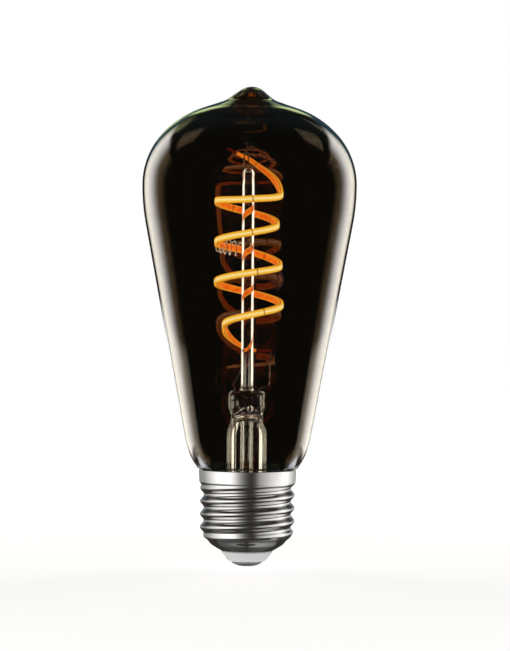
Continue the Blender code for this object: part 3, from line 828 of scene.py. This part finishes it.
class BULB_OT_stem(bpy.types.Operator):
    """Draw the clear stem with its flat press, the exhaust tube and the support rod"""

    bl_idname = "bulb.stem"
    bl_label = "Glass stem"

    def execute(self, context):
        clear = clear_glass(context.scene.bulb.glass)
        self.press(clear)
        self.tube(clear)
        self.rod(clear)
        return {"FINISHED"}

    def press(self, clear):
        count = 120
        flare, tube, wall = 0.0099, 0.0055, 0.0006
        inner_tube = tube - wall
        start, flare_top, chamber_top = STEM_LOW.z, 0.0260, 0.0422

        def flared(low_radius, radius):
            side = bend((low_radius, start), (radius, start + 0.001), (radius, flare_top), 14)
            return [stem_ring(z, r, r, 2, count, 0) for r, z in side]

        outside = [
            (flare_top, tube, tube, 2, 0), (0.0366, tube, tube, 2, 0), (0.0376, 0.0054, 0.0054, 2, 0),
            (0.0386, 0.0051, 0.0050, 2, 0.01), (0.0397, 0.00455, 0.0045, 2.1, 0.02),
            (0.0408, 0.0044, 0.0038, 2.2, 0.04), (0.0418, 0.0044, 0.0030, 2.4, 0.07),
            (0.0428, 0.0046, 0.0024, 2.7, 0.09), (0.0440, 0.00495, 0.0019, 3.1, 0.10),
            (0.0452, 0.00505, 0.0018, 3.3, 0.08), (0.0468, 0.00505, 0.0018, 3.3, 0.05),
            (0.0480, 0.0050, 0.0017, 3.1, 0.04), (0.0486, 0.0047, 0.0014, 2.8, 0.02),
            (STEM_HIGH.z, 0.0040, 0.0008, 2.4, 0),
        ]
        inside = [
            (flare_top, inner_tube, inner_tube, 2, 0), (0.0362, inner_tube, inner_tube, 2, 0),
            (0.0372, 0.0048, 0.0048, 2, 0), (0.0382, 0.0045, 0.0045, 2, 0.01),
            (0.0393, 0.0039, 0.0038, 2, 0.02), (0.0403, 0.0036, 0.0031, 2, 0.05),
            (0.0411, 0.0033, 0.0023, 2, 0.10), (0.0417, 0.0026, 0.0015, 2, 0.12),
            (chamber_top, 0.0005, 0.0004, 2, 0),
        ]
        inner = stem_rows(inside, 60, count) + [[(STEM_X, 0, chamber_top)] * count]
        outer = stem_rows(outside, 100, count) + [[(STEM_X, 0, STEM_HIGH.z)] * count]
        inner_flare = flared(flare - wall, inner_tube)
        rows = inner[::-1] + inner_flare[::-1][1:] + flared(flare, tube) + outer[1:]
        piece = surface("stem_press", rows, clear, crease=60)
        for centre, radii, tilt in (
            ((0.0006, -0.0009, 0.0438), (0.00105, 0.0007, 0.0010), 0),
            ((-0.0017, -0.0004, 0.0436), (0.0011, 0.0004, 0.0003), -38),
            ((0.0021, -0.0006, 0.0411), (0.0010, 0.0004, 0.0003), 28),
            ((0.0028, -0.0002, 0.0431), (0.0009, 0.0004, 0.0003), 8),
        ):
            self.bubble(piece, centre, radii, math.radians(tilt))
        settle(piece, "clear_glass", "glass_stem")

    def bubble(self, piece, centre, radii, tilt):
        """A smooth cavity in the press, its faces turned to the air inside it."""
        bm = bmesh.new()
        bm.from_mesh(piece.data)
        place = Matrix.LocRotScale(Vector(centre), Euler((0, tilt, 0)), Vector(radii))
        made = bmesh.ops.create_uvsphere(bm, u_segments=28, v_segments=18, radius=1.0, matrix=place)
        faces = {face for vert in made["verts"] for face in vert.link_faces}
        bmesh.ops.reverse_faces(bm, faces=list(faces))
        for face in faces:
            face.smooth = True
        bm.to_mesh(piece.data)
        bm.free()

    def tube(self, clear):
        radius, bore = 0.00175, 0.00115
        top, tip = TUBE_HIGH.z + 0.0004, TUBE_LOW.z
        foot = arc((0, tip + radius), radius, -math.pi / 2, 0, 12)
        foot[0] = (0, tip)
        mouth = bend((radius, top - 0.0026), (radius, top - 0.0008), (0.0025, top), 10)
        throat = bend((0.0020, top), (bore, top - 0.0008), (bore, top - 0.0024), 10)
        end = bend((bore, tip + 0.0036), (bore, tip + 0.0028), (0, tip + 0.0028), 8)
        end[-1] = (0, tip + 0.0028)
        piece = turned("exhaust_tube_drawn", foot + mouth + throat + end, clear, 80, (STEM_X, 0), crease=60)
        settle(piece, "clear_glass", "exhaust_tube")

    def rod(self, clear):
        radius = 0.00168
        low, top = ROD_LOW.z - 0.0002, ROD_HIGH.z
        foot = bend((0.0022, low), (radius, low + 0.0003), (radius, low + 0.0016), 6)
        shaft = [(radius, low + 0.002 + n * 0.003) for n in range(19)]
        neck = bend((radius, top - 0.0045), (0.00150, top - 0.0037), (0.00162, top - 0.0024), 6)
        head = bend(neck[-1], (0.00185, top), (0, top), 10)[1:]
        head[-1] = (0, top)
        piece = turned(
            "support_rod_drawn", [(0, low)] + foot + shaft + neck + head, clear, 80, (STEM_X, 0), crease=60
        )
        for vert in piece.data.vertices:
            drift = noise.noise(Vector((0, 0, vert.co.z)) / 0.012) * 0.00006
            vert.co.x += drift * share(vert.co.z, low, low + 0.004)
        settle(piece, "clear_glass", "support_rod")


# Filament and wires -------------------------------------------------------------------------

# Quarter turns down from the right-hand side, with the radius and the height there.
FILAMENT_KEYS = (
    (-1.30, 0.0076, 0.1161), (-1.00, 0.0076, 0.1144), (-0.75, 0.0083, 0.1121),
    (-0.50, 0.0090, 0.1095), (0, 0.0090, 0.1042), (1, 0.0092, 0.1021),
    (2, 0.0087, 0.1019), (3, 0.0087, 0.0994), (4, 0.0080, 0.0956), (5, 0.0087, 0.0928),
    (6, 0.0087, 0.0905), (7, 0.0088, 0.0883), (8, 0.0089, 0.0841), (9, 0.0089, 0.0817),
    (10, 0.0087, 0.0793), (11, 0.0088, 0.0767), (12, 0.0093, 0.0731),
    (13, 0.0084, 0.0700), (14, 0.0064, 0.0666), (15, 0.0075, 0.0606), (15.20, 0.0080, 0.0602),
)


def filament_point(turn):
    radius, height = hermite(FILAMENT_KEYS, turn)
    angle = -turn * math.pi / 2
    return Vector((STEM_X + radius * math.cos(angle), radius * math.sin(angle), height))


def filament_frame(turn):
    """The strip's centre, its outward direction, its width direction and its run at a turn."""
    step = 0.02
    first, last = FILAMENT_KEYS[0][0], FILAMENT_KEYS[-1][0]
    run = (filament_point(min(turn + step, last)) - filament_point(max(turn - step, first))).normalized()
    centre = filament_point(turn)
    out = Vector((centre.x - STEM_X, centre.y, 0)).normalized()
    out = (out - run * out.dot(run)).normalized()
    return centre, out, run.cross(out), run


class BULB_OT_filament(bpy.types.Operator):
    """Wind the glowing strip with its coats, its row of chips and its metal ends"""

    bl_idname = "bulb.filament"
    bl_label = "Filament"

    def execute(self, context):
        settings = context.scene.bulb.filament
        first, last = FILAMENT_KEYS[0][0], FILAMENT_KEYS[-1][0]
        steps = 420
        frames = [filament_frame(first + (last - first) * n / steps) for n in range(steps + 1)]
        points = [f[0] for f in frames]
        facing = [f[1] for f in frames]
        # Both ends of the coated strip narrow to their tabs.
        taper, end_girth = 24, 0.42
        girth = [
            end_girth + (1 - end_girth) * share(min(n, steps - n), 0, taper) for n in range(steps + 1)
        ]
        strips = strip_tree()
        flex = plain("flex_strip", (0.62, 0.26, 0.08), (0.52, 0.20, 0.06), 0.0006, rough=(0.35, 0.5))
        layers = (
            ("front_coat", "filament_outer_coat", "phosphor_silicone", front_coat(settings),
             settings.width, 0.00057, 0.00028, 0.000465),
            ("strip_core", "filament_strip", "flex_strip", flex, settings.width, 0.0001, 0.00004, 0.00002),
            ("back_coat", "filament_inner_coat", "phosphor_silicone_back", back_coat(settings),
             settings.width * 0.97, 0.00036, 0.00017, -0.00032),
        )
        for name, node, slot, finish, width, thickness, edge, offset in layers:
            piece = grown(path_mesh(name, points, facing, girth), strips, {
                "Width": width, "Thickness": thickness, "Edge radius": edge, "Offset": offset,
                "Finish": finish,
            })
            settle(piece, slot, node)
        pitch = settings.chip_pitch
        chips = grown(path_mesh("chip_row", points[taper:-taper], facing[taper:-taper]), chip_tree(), {
            "Pitch": pitch, "Length": pitch * 0.55, "Width": 0.00050, "Height": 0.00014,
            "Offset": 0.00072, "Finish": chip_dome(settings),
        })
        settle(chips, "phosphor_silicone")
        self.tab("top_tab", "filament_top_tab", first, -1, strips)
        self.tab("bottom_tab", "filament_bottom_tab", last, 1, strips)
        return {"FINISHED"}

    def tab(self, name, node, turn, direction, strips):
        """The bare, heat-tinted metal end of the strip, with a faint painted red glow."""
        low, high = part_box(node)
        centre, out, wide, run = filament_frame(turn)
        run = run * direction
        reach = (high.x - low.x) / abs(run.x) if abs(run.x) > 0.2 else 0.003
        end_z = (low.z + high.z) / 2
        start = centre - run * 0.0006
        # The dark red base is the metal's own heat tint; the faint red emission is a painted glow, since the
        # tab is no lamp.
        finish = bpy.data.materials.get("heat_tinted_tab") or plain(
            "heat_tinted_tab", (0.26, 0.022, 0.012), (0.12, 0.012, 0.008), 0.0008, metallic=0.85,
            rough=(0.25, 0.45), Emission_Color=(0.30, 0.02, 0.006), Emission_Strength=0.35,
        )
        end = centre + run * reach
        end.z += (end_z - (start.z + end.z) / 2)
        points = [start.lerp(end, n / 8) for n in range(9)]
        piece = grown(path_mesh(name, points, [out] * 9), strips, {
            "Width": 0.0007, "Thickness": 0.0002, "Edge radius": 0.00008, "Offset": 0.0,
            "Finish": finish,
        })
        settle(piece, "tab_metal", node)


class BULB_OT_wires(bpy.types.Operator):
    """Run the leads, their seals, the tab pin and the support coil"""

    bl_idname = "bulb.wires"
    bl_label = "Wires"

    def execute(self, context):
        tree = wire_tree()
        steel = plain("lead_wire", (0.55, 0.53, 0.50), (0.38, 0.36, 0.33), 0.0008, metallic=1.0,
                      rough=(0.18, 0.34))
        copper = plain("dumet_wire", (0.20, 0.085, 0.045), (0.13, 0.055, 0.030), 0.0007, metallic=0.9,
                       rough=(0.30, 0.45))
        fine = plain("support_wire", (0.78, 0.76, 0.72), (0.62, 0.60, 0.56), 0.0005, metallic=1.0,
                     rough=(0.12, 0.22))
        self.seals(tree, copper)
        self.leads(tree, steel)
        self.coil(tree, fine)
        return {"FINISHED"}

    def seals(self, tree, copper):
        for side in ("left", "right"):
            for node in (side + "_seal_wire", side + "_outer_lead"):
                low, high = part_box(node)
                middle = (low + high) / 2
                wire(node, [(middle.x, 0, low.z), (middle.x, 0, middle.z), (middle.x, 0, high.z)],
                     0.00021, copper, "copper", tree)

    def leads(self, tree, steel):
        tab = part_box("filament_bottom_tab")[1]
        tab_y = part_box("filament_bottom_tab")[0].y
        route = [
            (RIGHT_SEAL_X, 0, SEAL_TOP), (RIGHT_SEAL_X, 0, STEM_HIGH.z + 0.0003), (0.0042, 0.0004, 0.0500),
            (0.0056, 0.0016, 0.0503), (0.0061, 0.0028, 0.0518), (0.0061, tab_y * 0.9, 0.0560),
            (tab.x - 0.0003, tab_y, 0.0597),
        ]
        wire("right_inner_lead", smooth_route(route, 8), 0.0002, steel, "wire_metal", tree)
        # The left lead climbs behind the rod, just clear of its side.
        beside_x, beside_y = -0.00185, 0.00165
        hook_y = 0.0062
        route = [
            (LEFT_SEAL_X, 0, SEAL_TOP), (LEFT_SEAL_X - 0.0003, 0, 0.0497), (-0.0041, 0.0003, 0.0507),
            (-0.0030, 0.0010, 0.0527), (-0.0021, 0.0016, 0.0545), (beside_x, beside_y, 0.0580),
            (beside_x, beside_y, 0.0720), (beside_x, beside_y, 0.0900), (beside_x, beside_y, 0.1080),
            (-0.0018, 0.0021, 0.1117), (-0.0016, 0.0045, 0.1128), (-0.0016, hook_y, 0.1140),
            (-0.0015, hook_y + 0.0004, 0.1162),
            (-0.0011, hook_y + 0.0010, 0.1167), (-0.0006, hook_y + 0.0002, 0.1158),
            (-0.0004, hook_y - 0.0004, 0.1138), (-0.0006, hook_y - 0.0014, 0.1122),
        ]
        wire("left_inner_lead", smooth_route(route, 8), 0.0002, steel, "wire_metal", tree)
        hook = [
            (tab.x + 0.0005, tab_y, 0.0590), (tab.x + 0.0007, tab_y - 0.0003, 0.0572),
            (tab.x + 0.0009, tab_y - 0.0006, 0.0562), (tab.x + 0.0006, tab_y - 0.0006, 0.0560),
        ]
        wire("bottom_tab_pin", smooth_route(hook, 6), 0.00015, steel, "wire_metal", tree)

    def coil(self, tree, fine):
        loops, start, end, per_loop = 5, 6.2, 6.86, 24
        lift, half_depth, half_height = 0.00015, 0.00105, 0.00205
        route = []
        for n in range(loops * per_loop + 1):
            centre, out, wide, _ = filament_frame(start + (end - start) * n / (loops * per_loop))
            angle = math.pi + math.tau * n / per_loop
            route.append(centre + out * (lift + half_depth * math.cos(angle))
                         + wide * half_height * math.sin(angle))
        last = route[-1]
        rod_side = (STEM_X - 0.0006, 0.0018, 0.0893)
        tail = smooth_route([tuple(last), (last.x * 0.8, last.y * 0.75, 0.0890), rod_side], 8)
        wire("support_coil", route + tail[1:], 0.00014, fine, "wire_metal", tree)


# Cap ----------------------------------------------------------------------------------------


def thread_radius(settings, angle, z):
    """Outside radius of the shell at an angle and a height. The thread runs out into the collar."""
    phase = (z - settings.crest_z) / settings.pitch - angle / math.tau
    wave = 0.5 + 0.5 * np.cos(math.tau * phase)
    fade_in = np.clip((z - settings.thread_bottom) / 0.0018, 0, 1)
    fade_out = np.clip((settings.thread_top - z) / 0.0017, 0, 1)
    threaded = settings.minor + (settings.major - settings.minor) * wave * fade_in
    return settings.collar + (threaded - settings.collar) * fade_out ** 2 * (3 - 2 * fade_out)


def cap_heights(settings):
    """The shell's outer side without its thread, from rim to mouth, as (radius, height)."""
    top, bottom = settings.thread_top, settings.thread_bottom
    bead = [(CAP_HIGH.x - 0.00012, CAP_HIGH.z), (CAP_HIGH.x, CAP_HIGH.z - 0.0001)]
    side = [bead[1], (0.01358, 0.0258), (0.01355, 0.0248), (settings.collar, top)]
    collar = [tuple(point) for point in smooth_route(side, 5)[1:-1]]
    rows = 132
    thread = [(None, top + (bottom - top) * n / rows) for n in range(rows + 1)]
    keys = [
        (settings.minor, bottom), (0.0118, 0.0077), (0.0112, 0.0072), (0.0105, 0.0064),
        (0.00995, 0.00586), (0.0091, 0.0053), (0.0081, 0.0047), (0.0074, CAP_LOW.z),
    ]
    lower = [tuple(point) for point in smooth_route(keys, 4)[1:]]
    return bead + collar + thread + lower


class BULB_OT_cap(bpy.types.Operator):
    """Press the threaded shell, and set the insulator and the contact in it"""

    bl_idname = "bulb.cap"
    bl_label = "Screw cap"

    def execute(self, context):
        settings = context.scene.bulb.cap
        nickel = bright_nickel(settings)
        self.shell(settings, nickel)
        hole = 0.0015
        under = bend((0.0048, 0.0013), (0.0052, 0.0013), (0.0056, 0.0019), 8)
        neck = bend((0.0070, 0.0037), (0.0073, 0.0040), (0.0069, 0.0043), 6)
        outline = [(hole, 0.00135)] + under + neck + [
            (0.0068, 0.0053), (0.0080, 0.0060), (0.0080, 0.0070), (hole, 0.0070),
        ]
        piece = turned("insulator_moulded", outline, white_plastic(), 96)
        settle(piece, "white_plastic", "cap_insulator")
        shank = 0.0012
        bare = plain("contact_metal", (0.80, 0.79, 0.78), (0.70, 0.69, 0.68), 0.0009, metallic=1.0,
                     rough=(0.50, 0.65), depth=0.00001)
        face = bend((0.0020, 0.0), (0.0030, 0.0001), (0.0041, 0.0007), 10)
        edge = bend((0.0041, 0.0007), (0.0045, 0.00095), (0.0042, 0.0010), 6)[1:]
        outline = [(0, 0)] + face + edge + [(shank, 0.00105), (shank, 0.0074), (0, 0.0076)]
        piece = turned("contact_stamped", outline, bare, 72)
        settle(piece, "nickel_sheet", "centre_contact")
        return {"FINISHED"}

    def shell(self, settings, nickel):
        segments = 180
        heights = cap_heights(settings)
        z = np.array([p[1] for p in heights])
        threaded = np.array([p[0] is None for p in heights])
        fixed = np.array([p[0] or 0 for p in heights])
        angles = np.arange(segments) * math.tau / segments
        radius = np.where(threaded[:, None], thread_radius(settings, angles[None, :], z[:, None]),
                          fixed[:, None])
        run, fall = np.gradient(radius, axis=0), np.gradient(z)[:, None]
        span = np.hypot(run, fall)
        inner_radius = radius + settings.sheet * fall / span
        inner_z = z[:, None] - settings.sheet * run / span
        outer_z = np.broadcast_to(z[:, None], radius.shape)

        def rows(r, heights_at):
            cloud = np.stack([r * np.cos(angles), r * np.sin(angles), heights_at], axis=-1)
            return [[tuple(p) for p in row] for row in cloud.tolist()]

        piece = surface("shell_pressed", rows(radius, outer_z) + rows(inner_radius, inner_z)[::-1],
                        nickel, closed_rows=True, crease=60)
        settle(piece, "nickel_sheet", "screw_cap")


# Electronics --------------------------------------------------------------------------------


class BULB_OT_electronics(bpy.types.Operator):
    """Put finishes on the boards, their parts and the cap's inner pieces"""

    bl_idname = "bulb.electronics"
    bl_label = "Electronics"

    def execute(self, context):
        board = circuit_board()
        epoxy = plain("black_epoxy", (0.020, 0.020, 0.022), (0.035, 0.035, 0.036), 0.0004, rough=(0.4, 0.6))
        tin = plain("tinned_sheet", (0.70, 0.70, 0.68), (0.60, 0.60, 0.58), 0.0012, metallic=1.0,
                    rough=(0.2, 0.35))
        body = plain("fired_ceramic", (0.78, 0.77, 0.70), (0.70, 0.69, 0.62), 0.0006, rough=(0.45, 0.65))
        finishes = {
            "driver_board": board, "radio_board": board, "driver_chip": epoxy,
            "bridge_rectifier": epoxy, "board_link": epoxy,
            "filter_inductor": plain("ferrite", (0.05, 0.048, 0.045), (0.08, 0.075, 0.07), 0.0005,
                                     rough=(0.5, 0.75)),
            "radio_shield": tin, "clock_crystal": tin, "radio_antenna": body,
            "fusible_resistor": body, "electrolytic_capacitor": capacitor_sleeve(),
            "insulating_liner": plain("liner_film", (0.72, 0.72, 0.70), (0.66, 0.66, 0.63), 0.002,
                                      rough=(0.35, 0.5)),
            "cap_cement": plain("cap_cement", (0.62, 0.52, 0.36), (0.48, 0.39, 0.26), 0.0007,
                                rough=(0.8, 0.95), depth=0.00005),
            "live_wire": plain("red_sleeve", (0.60, 0.04, 0.03), (0.50, 0.03, 0.025), 0.0006,
                               rough=(0.3, 0.45)),
            "neutral_wire": bpy.data.materials["dumet_wire"],
        }
        for name, finish in finishes.items():
            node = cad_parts[name]
            node.data.materials.clear()
            node.data.materials.append(finish)
        return {"FINISHED"}


# Stage --------------------------------------------------------------------------------------


def softbox(name, azimuths, slopes, glow, rise=0.1, fall=0.1, tint=WHITE, receivers=None,
            distance=0.60, aim=0.067):
    """A tall flat light that faces the bulb, out of the camera's sight.

    Azimuths runs from its front edge to its rear edge, in degrees from the camera: + is to the
    right. Slopes are the heights of its lower and upper edges over its distance. Rise and fall
    are the shares of its width over which it comes up from the front edge and dies at the rear.
    """
    front, rear = azimuths
    middle = math.radians((front + rear) / 2)
    width = 2 * distance * math.tan(math.radians(abs(rear - front) / 2))
    low, high = (slope * distance for slope in slopes)
    made = bpy.data.lights.new(name, "AREA")
    made.shape = "RECTANGLE"
    made.size, made.size_y = width, high - low
    power_per_area = 4
    made.energy = power_per_area * width * (high - low)
    look = Look(made)
    spot = look.node("ShaderNodeNewGeometry", output="Parametric")
    across = look.node("ShaderNodeSeparateXYZ", inputs={0: spot})
    up = across.beside("Y")
    if front < 0:
        across = 1 - across
    fade = look.soften(across, 0.0, rise) * look.soften(across, 1.0 - fall, 1.0 + fall * 0.3, 1.0, 0.0)
    fade = fade * look.soften(up, 0.0, 0.06) * look.soften(up, 0.90, 1.0, 1.0, 0.0)
    emission = look.tree.nodes["Emission"]
    emission.inputs["Color"].default_value = (*tint, 1.0)
    look.put(emission.inputs["Strength"], fade * glow)
    lamp = bpy.data.objects.new(name, made)
    bpy.context.scene.collection.objects.link(lamp)
    back = Vector((math.sin(middle), -math.cos(middle), 0))
    lamp.location = back * distance + Vector((0, 0, aim + (low + high) / 2))
    lamp.rotation_mode = "QUATERNION"
    lamp.rotation_quaternion = back.to_track_quat("Z", "Y")
    lamp.visible_camera = False
    if receivers:
        lamp.light_linking.receiver_collection = receivers
    return lamp


# Brightness round the cap, by azimuth from the camera in degrees, + to the right.
CAP_GLOW = (
    (-180, 0.12), (-147, 0.28), (-123, 0.36), (-100, 0.72), (-78, 1.12), (-55, 1.29), (-37, 1.13),
    (-20, 0.46), (-8, 0.16), (6, 0.04), (19, 0.09), (30, 0.34), (50, 0.62), (75, 0.95),
    (106, 1.20), (123, 0.88), (147, 0.46), (180, 0.12),
)

CAP_PIECES = ("shell_pressed", "insulator_moulded", "contact_stamped")
STEM_PIECES = ("stem_press", "exhaust_tube_drawn", "support_rod_drawn")


class BULB_OT_stage(bpy.types.Operator):
    """Set the pale floor, the soft lights and the camera"""

    bl_idname = "bulb.stage"
    bl_label = "Stage"

    def execute(self, context):
        settings = context.scene.bulb.stage
        self.floor(settings)
        self.world(context.scene)
        self.lights(context.scene, settings)
        self.camera(context.scene, settings)
        return {"FINISHED"}

    def floor(self, settings):
        """A pale sheet that fades to white away from the bulb, so it meets the backdrop unseen."""
        look = material("pale_floor")
        pale = tuple(settings.floor)
        away = look.node(
            "ShaderNodeVectorMath", {"operation": "LENGTH"},
            {0: look.node("ShaderNodeTexCoord", output="Object")}, output=1,
        )
        near = look.grain(0.25, detail=2.0)
        look.finish(
            Base_Color=look.blend(near, pale, tuple(0.98 * part for part in pale)), Roughness=0.8,
            Specular_IOR_Level=0.0, Emission_Strength=1.0,
            Emission_Color=look.blend(look.soften(away, 0.05, 0.35), (0.86, 0.86, 0.86), WHITE),
        )
        mesh = bpy.data.meshes.new("floor")
        reach, top = 12.0, -0.0002
        corners = [(-reach, -reach, top), (reach, -reach, top), (reach, reach, top), (-reach, reach, top)]
        mesh.from_pydata(corners, [], [(0, 1, 2, 3)])
        floor = object_of("floor", mesh, look.owner, smooth=False)
        floor.visible_glossy = False
        floor.visible_transmission = False

    def world(self, scene):
        """White to the camera. To the bulb it is a near-black room with a teal band behind."""
        scene.world = bpy.data.worlds.new("studio")
        look = Look(scene.world)
        seen = look.node("ShaderNodeLightPath", output="Is Camera Ray")
        way = look.node("ShaderNodeTexCoord", output="Generated")
        up = look.node("ShaderNodeSeparateXYZ", inputs={0: way}, output="Z")
        back = up.beside("Y")
        band = look.soften(up, 0.11, 0.17) * look.soften(up, 0.38, 0.52, 1.0, 0.0)
        band = band * look.soften(back, 0.70, 0.85)
        room = look.blend(band, (0.011, 0.009, 0.006), (0.020, 0.045, 0.060))
        background = look.tree.nodes["Background"]
        look.put(background.inputs["Color"], look.blend(seen, room, WHITE))

    def lights(self, scene, settings):
        cap_only = bpy.data.collections.new("cap_only")
        but_cap = bpy.data.collections.new("all_but_cap")
        for name in CAP_PIECES:
            cap_only.objects.link(bpy.data.objects[name])
            but_cap.objects.link(bpy.data.objects[name])
        for linked in but_cap.collection_objects:
            linked.light_linking.link_state = "EXCLUDE"
        warm, leaf = (1.0, 0.93, 0.80), (0.86, 1.0, 0.44)
        for side in (-1, 1):
            for name, front, rear, slopes, glow, rise, fall, tint in (
                ("rim_light", 112, 155, (-0.40, 0.74), settings.rim, 0.5, 0.4, warm),
                ("rear_strip", 157, 174, (-0.22, -0.02), 1.0, 0.2, 0.2, WHITE),
                ("crown_gleam", 164, 175, (0.52, 0.76), 0.60, 0.2, 0.2, leaf),
                ("foot_light", 122, 152, (-1.05, -0.52), 1.3, 0.3, 0.3, WHITE),
            ):
                softbox(name, (side * front, side * rear), slopes, glow, rise, fall, tint, but_cap)
        softbox("left_gleam", (-166, -174), (0.24, 0.40), 0.55, 0.2, 0.2, leaf, but_cap)
        self.gleams(settings)
        self.tent(settings, cap_only)

    def gleams(self, settings):
        """Small lights inside the bulb that draw the bright edges of the rod, stem and coil."""
        stem_only = bpy.data.collections.new("stem_only")
        for name in (*STEM_PIECES, "support_coil_fine"):
            stem_only.objects.link(bpy.data.objects[name])
        cream = (1.0, 0.95, 0.83)
        for side in (-1, 1):
            for name, front, distance, low, high in (
                ("rod", 100, 0.013, 0.048, 0.115), ("stem", 140, 0.0092, 0.019, 0.0425),
            ):
                softbox(name + "_edge_light", (side * front, side * 155), (low / distance, high / distance),
                        settings.edge, 0.1, 0.1, cream, stem_only, distance, 0.0)

    def tent(self, settings, cap_only):
        """A light tent for the cap alone. The other pieces neither see it nor are lit by it."""
        radius, middle = 0.9, 0.015
        bm = bmesh.new()
        place = Matrix.Translation((0, 0, middle))
        bmesh.ops.create_uvsphere(bm, u_segments=72, v_segments=36, radius=radius, matrix=place)
        mesh = bpy.data.meshes.new("cap_tent")
        bm.to_mesh(mesh)
        bm.free()
        glow = mesh.attributes.new("glow", "FLOAT", "POINT")
        for vert, held in zip(mesh.vertices, glow.data):
            x, y, z = vert.co
            height = (z - middle) / radius
            azimuth = math.degrees(math.atan2(x, -y))
            level = hermite(CAP_GLOW, min(max(azimuth, -180), 180 - 1e-6))[0]
            # The bright band is tall in front, and narrow towards the rear.
            rear = share(abs(azimuth), 105, 140)
            tall = 1 - share(height, 0.45, 0.75) if height > 0 else share(height, -0.60, -0.30)
            narrow = 1 - share(abs(height), 0.10, 0.28)
            lit = tall * (1 - rear) + narrow * rear
            elsewhere = 0.30 * level if height < -0.7 and abs(azimuth) > 90 else 0.03
            held.value = 1.15 * level * lit + elsewhere * (1 - lit)
        look = material("tent_cloth")
        strength = look.attribute("glow") * settings.tent
        emission = look.node("ShaderNodeEmission", inputs={"Strength": strength})
        clear = look.node("ShaderNodeBsdfTransparent")
        both = look.node("ShaderNodeAddShader", inputs={0: emission, 1: clear})
        look.put(look.tree.nodes["Material Output"].inputs["Surface"], both)
        tent = object_of("cap_tent", mesh, look.owner)
        tent.visible_camera = False
        tent.visible_transmission = False
        tent.visible_shadow = False
        tent.light_linking.receiver_collection = cap_only

    def camera(self, scene, settings):
        lens = bpy.data.cameras.new("camera")
        lens.lens = settings.lens
        lens.sensor_width = 36
        lens.clip_start, lens.clip_end = 0.05, 30
        camera = bpy.data.objects.new("camera", lens)
        scene.collection.objects.link(camera)
        camera.location = (settings.aside, -settings.distance, settings.aim)
        camera.rotation_euler = (math.pi / 2, settings.roll, 0)
        scene.camera = camera
        scene.view_settings.view_transform = "Standard"
        scene.view_settings.look = "None"
        scene.cycles.use_denoising = True
        scene.cycles.max_bounces = 24
        scene.cycles.glossy_bounces = 10
        scene.cycles.transmission_bounces = 24
        scene.cycles.caustics_reflective = True
        scene.cycles.caustics_refractive = True


# Panel and run ------------------------------------------------------------------------------

STEPS = (BULB_OT_glass, BULB_OT_stem, BULB_OT_filament, BULB_OT_wires, BULB_OT_cap,
         BULB_OT_electronics, BULB_OT_stage)


class BULB_PT_panel(bpy.types.Panel):
    """The bulb's steps and sizes"""

    bl_label = "Filament bulb"
    bl_space_type = "VIEW_3D"
    bl_region_type = "UI"
    bl_category = "Bulb"

    def draw(self, context):
        for step in STEPS:
            self.layout.operator(step.bl_idname)
        for name in ("glass", "filament", "cap", "stage"):
            group = getattr(context.scene.bulb, name)
            column = self.layout.box().column()
            column.label(text=name.capitalize())
            for key in type(group).__annotations__:
                column.prop(group, key)


CLASSES = (GlassSettings, FilamentSettings, CapSettings, StageSettings, BulbSettings, *STEPS,
           BULB_PT_panel)


def register():
    for made in CLASSES:
        bpy.utils.register_class(made)
    bpy.types.Scene.bulb = PointerProperty(type=BulbSettings)


def unregister():
    del bpy.types.Scene.bulb
    for made in reversed(CLASSES):
        bpy.utils.unregister_class(made)


def main():
    register()
    for step in STEPS:
        group, name = step.bl_idname.split(".")
        getattr(getattr(bpy.ops, group), name)()


if __name__ == "__main__":
    main()
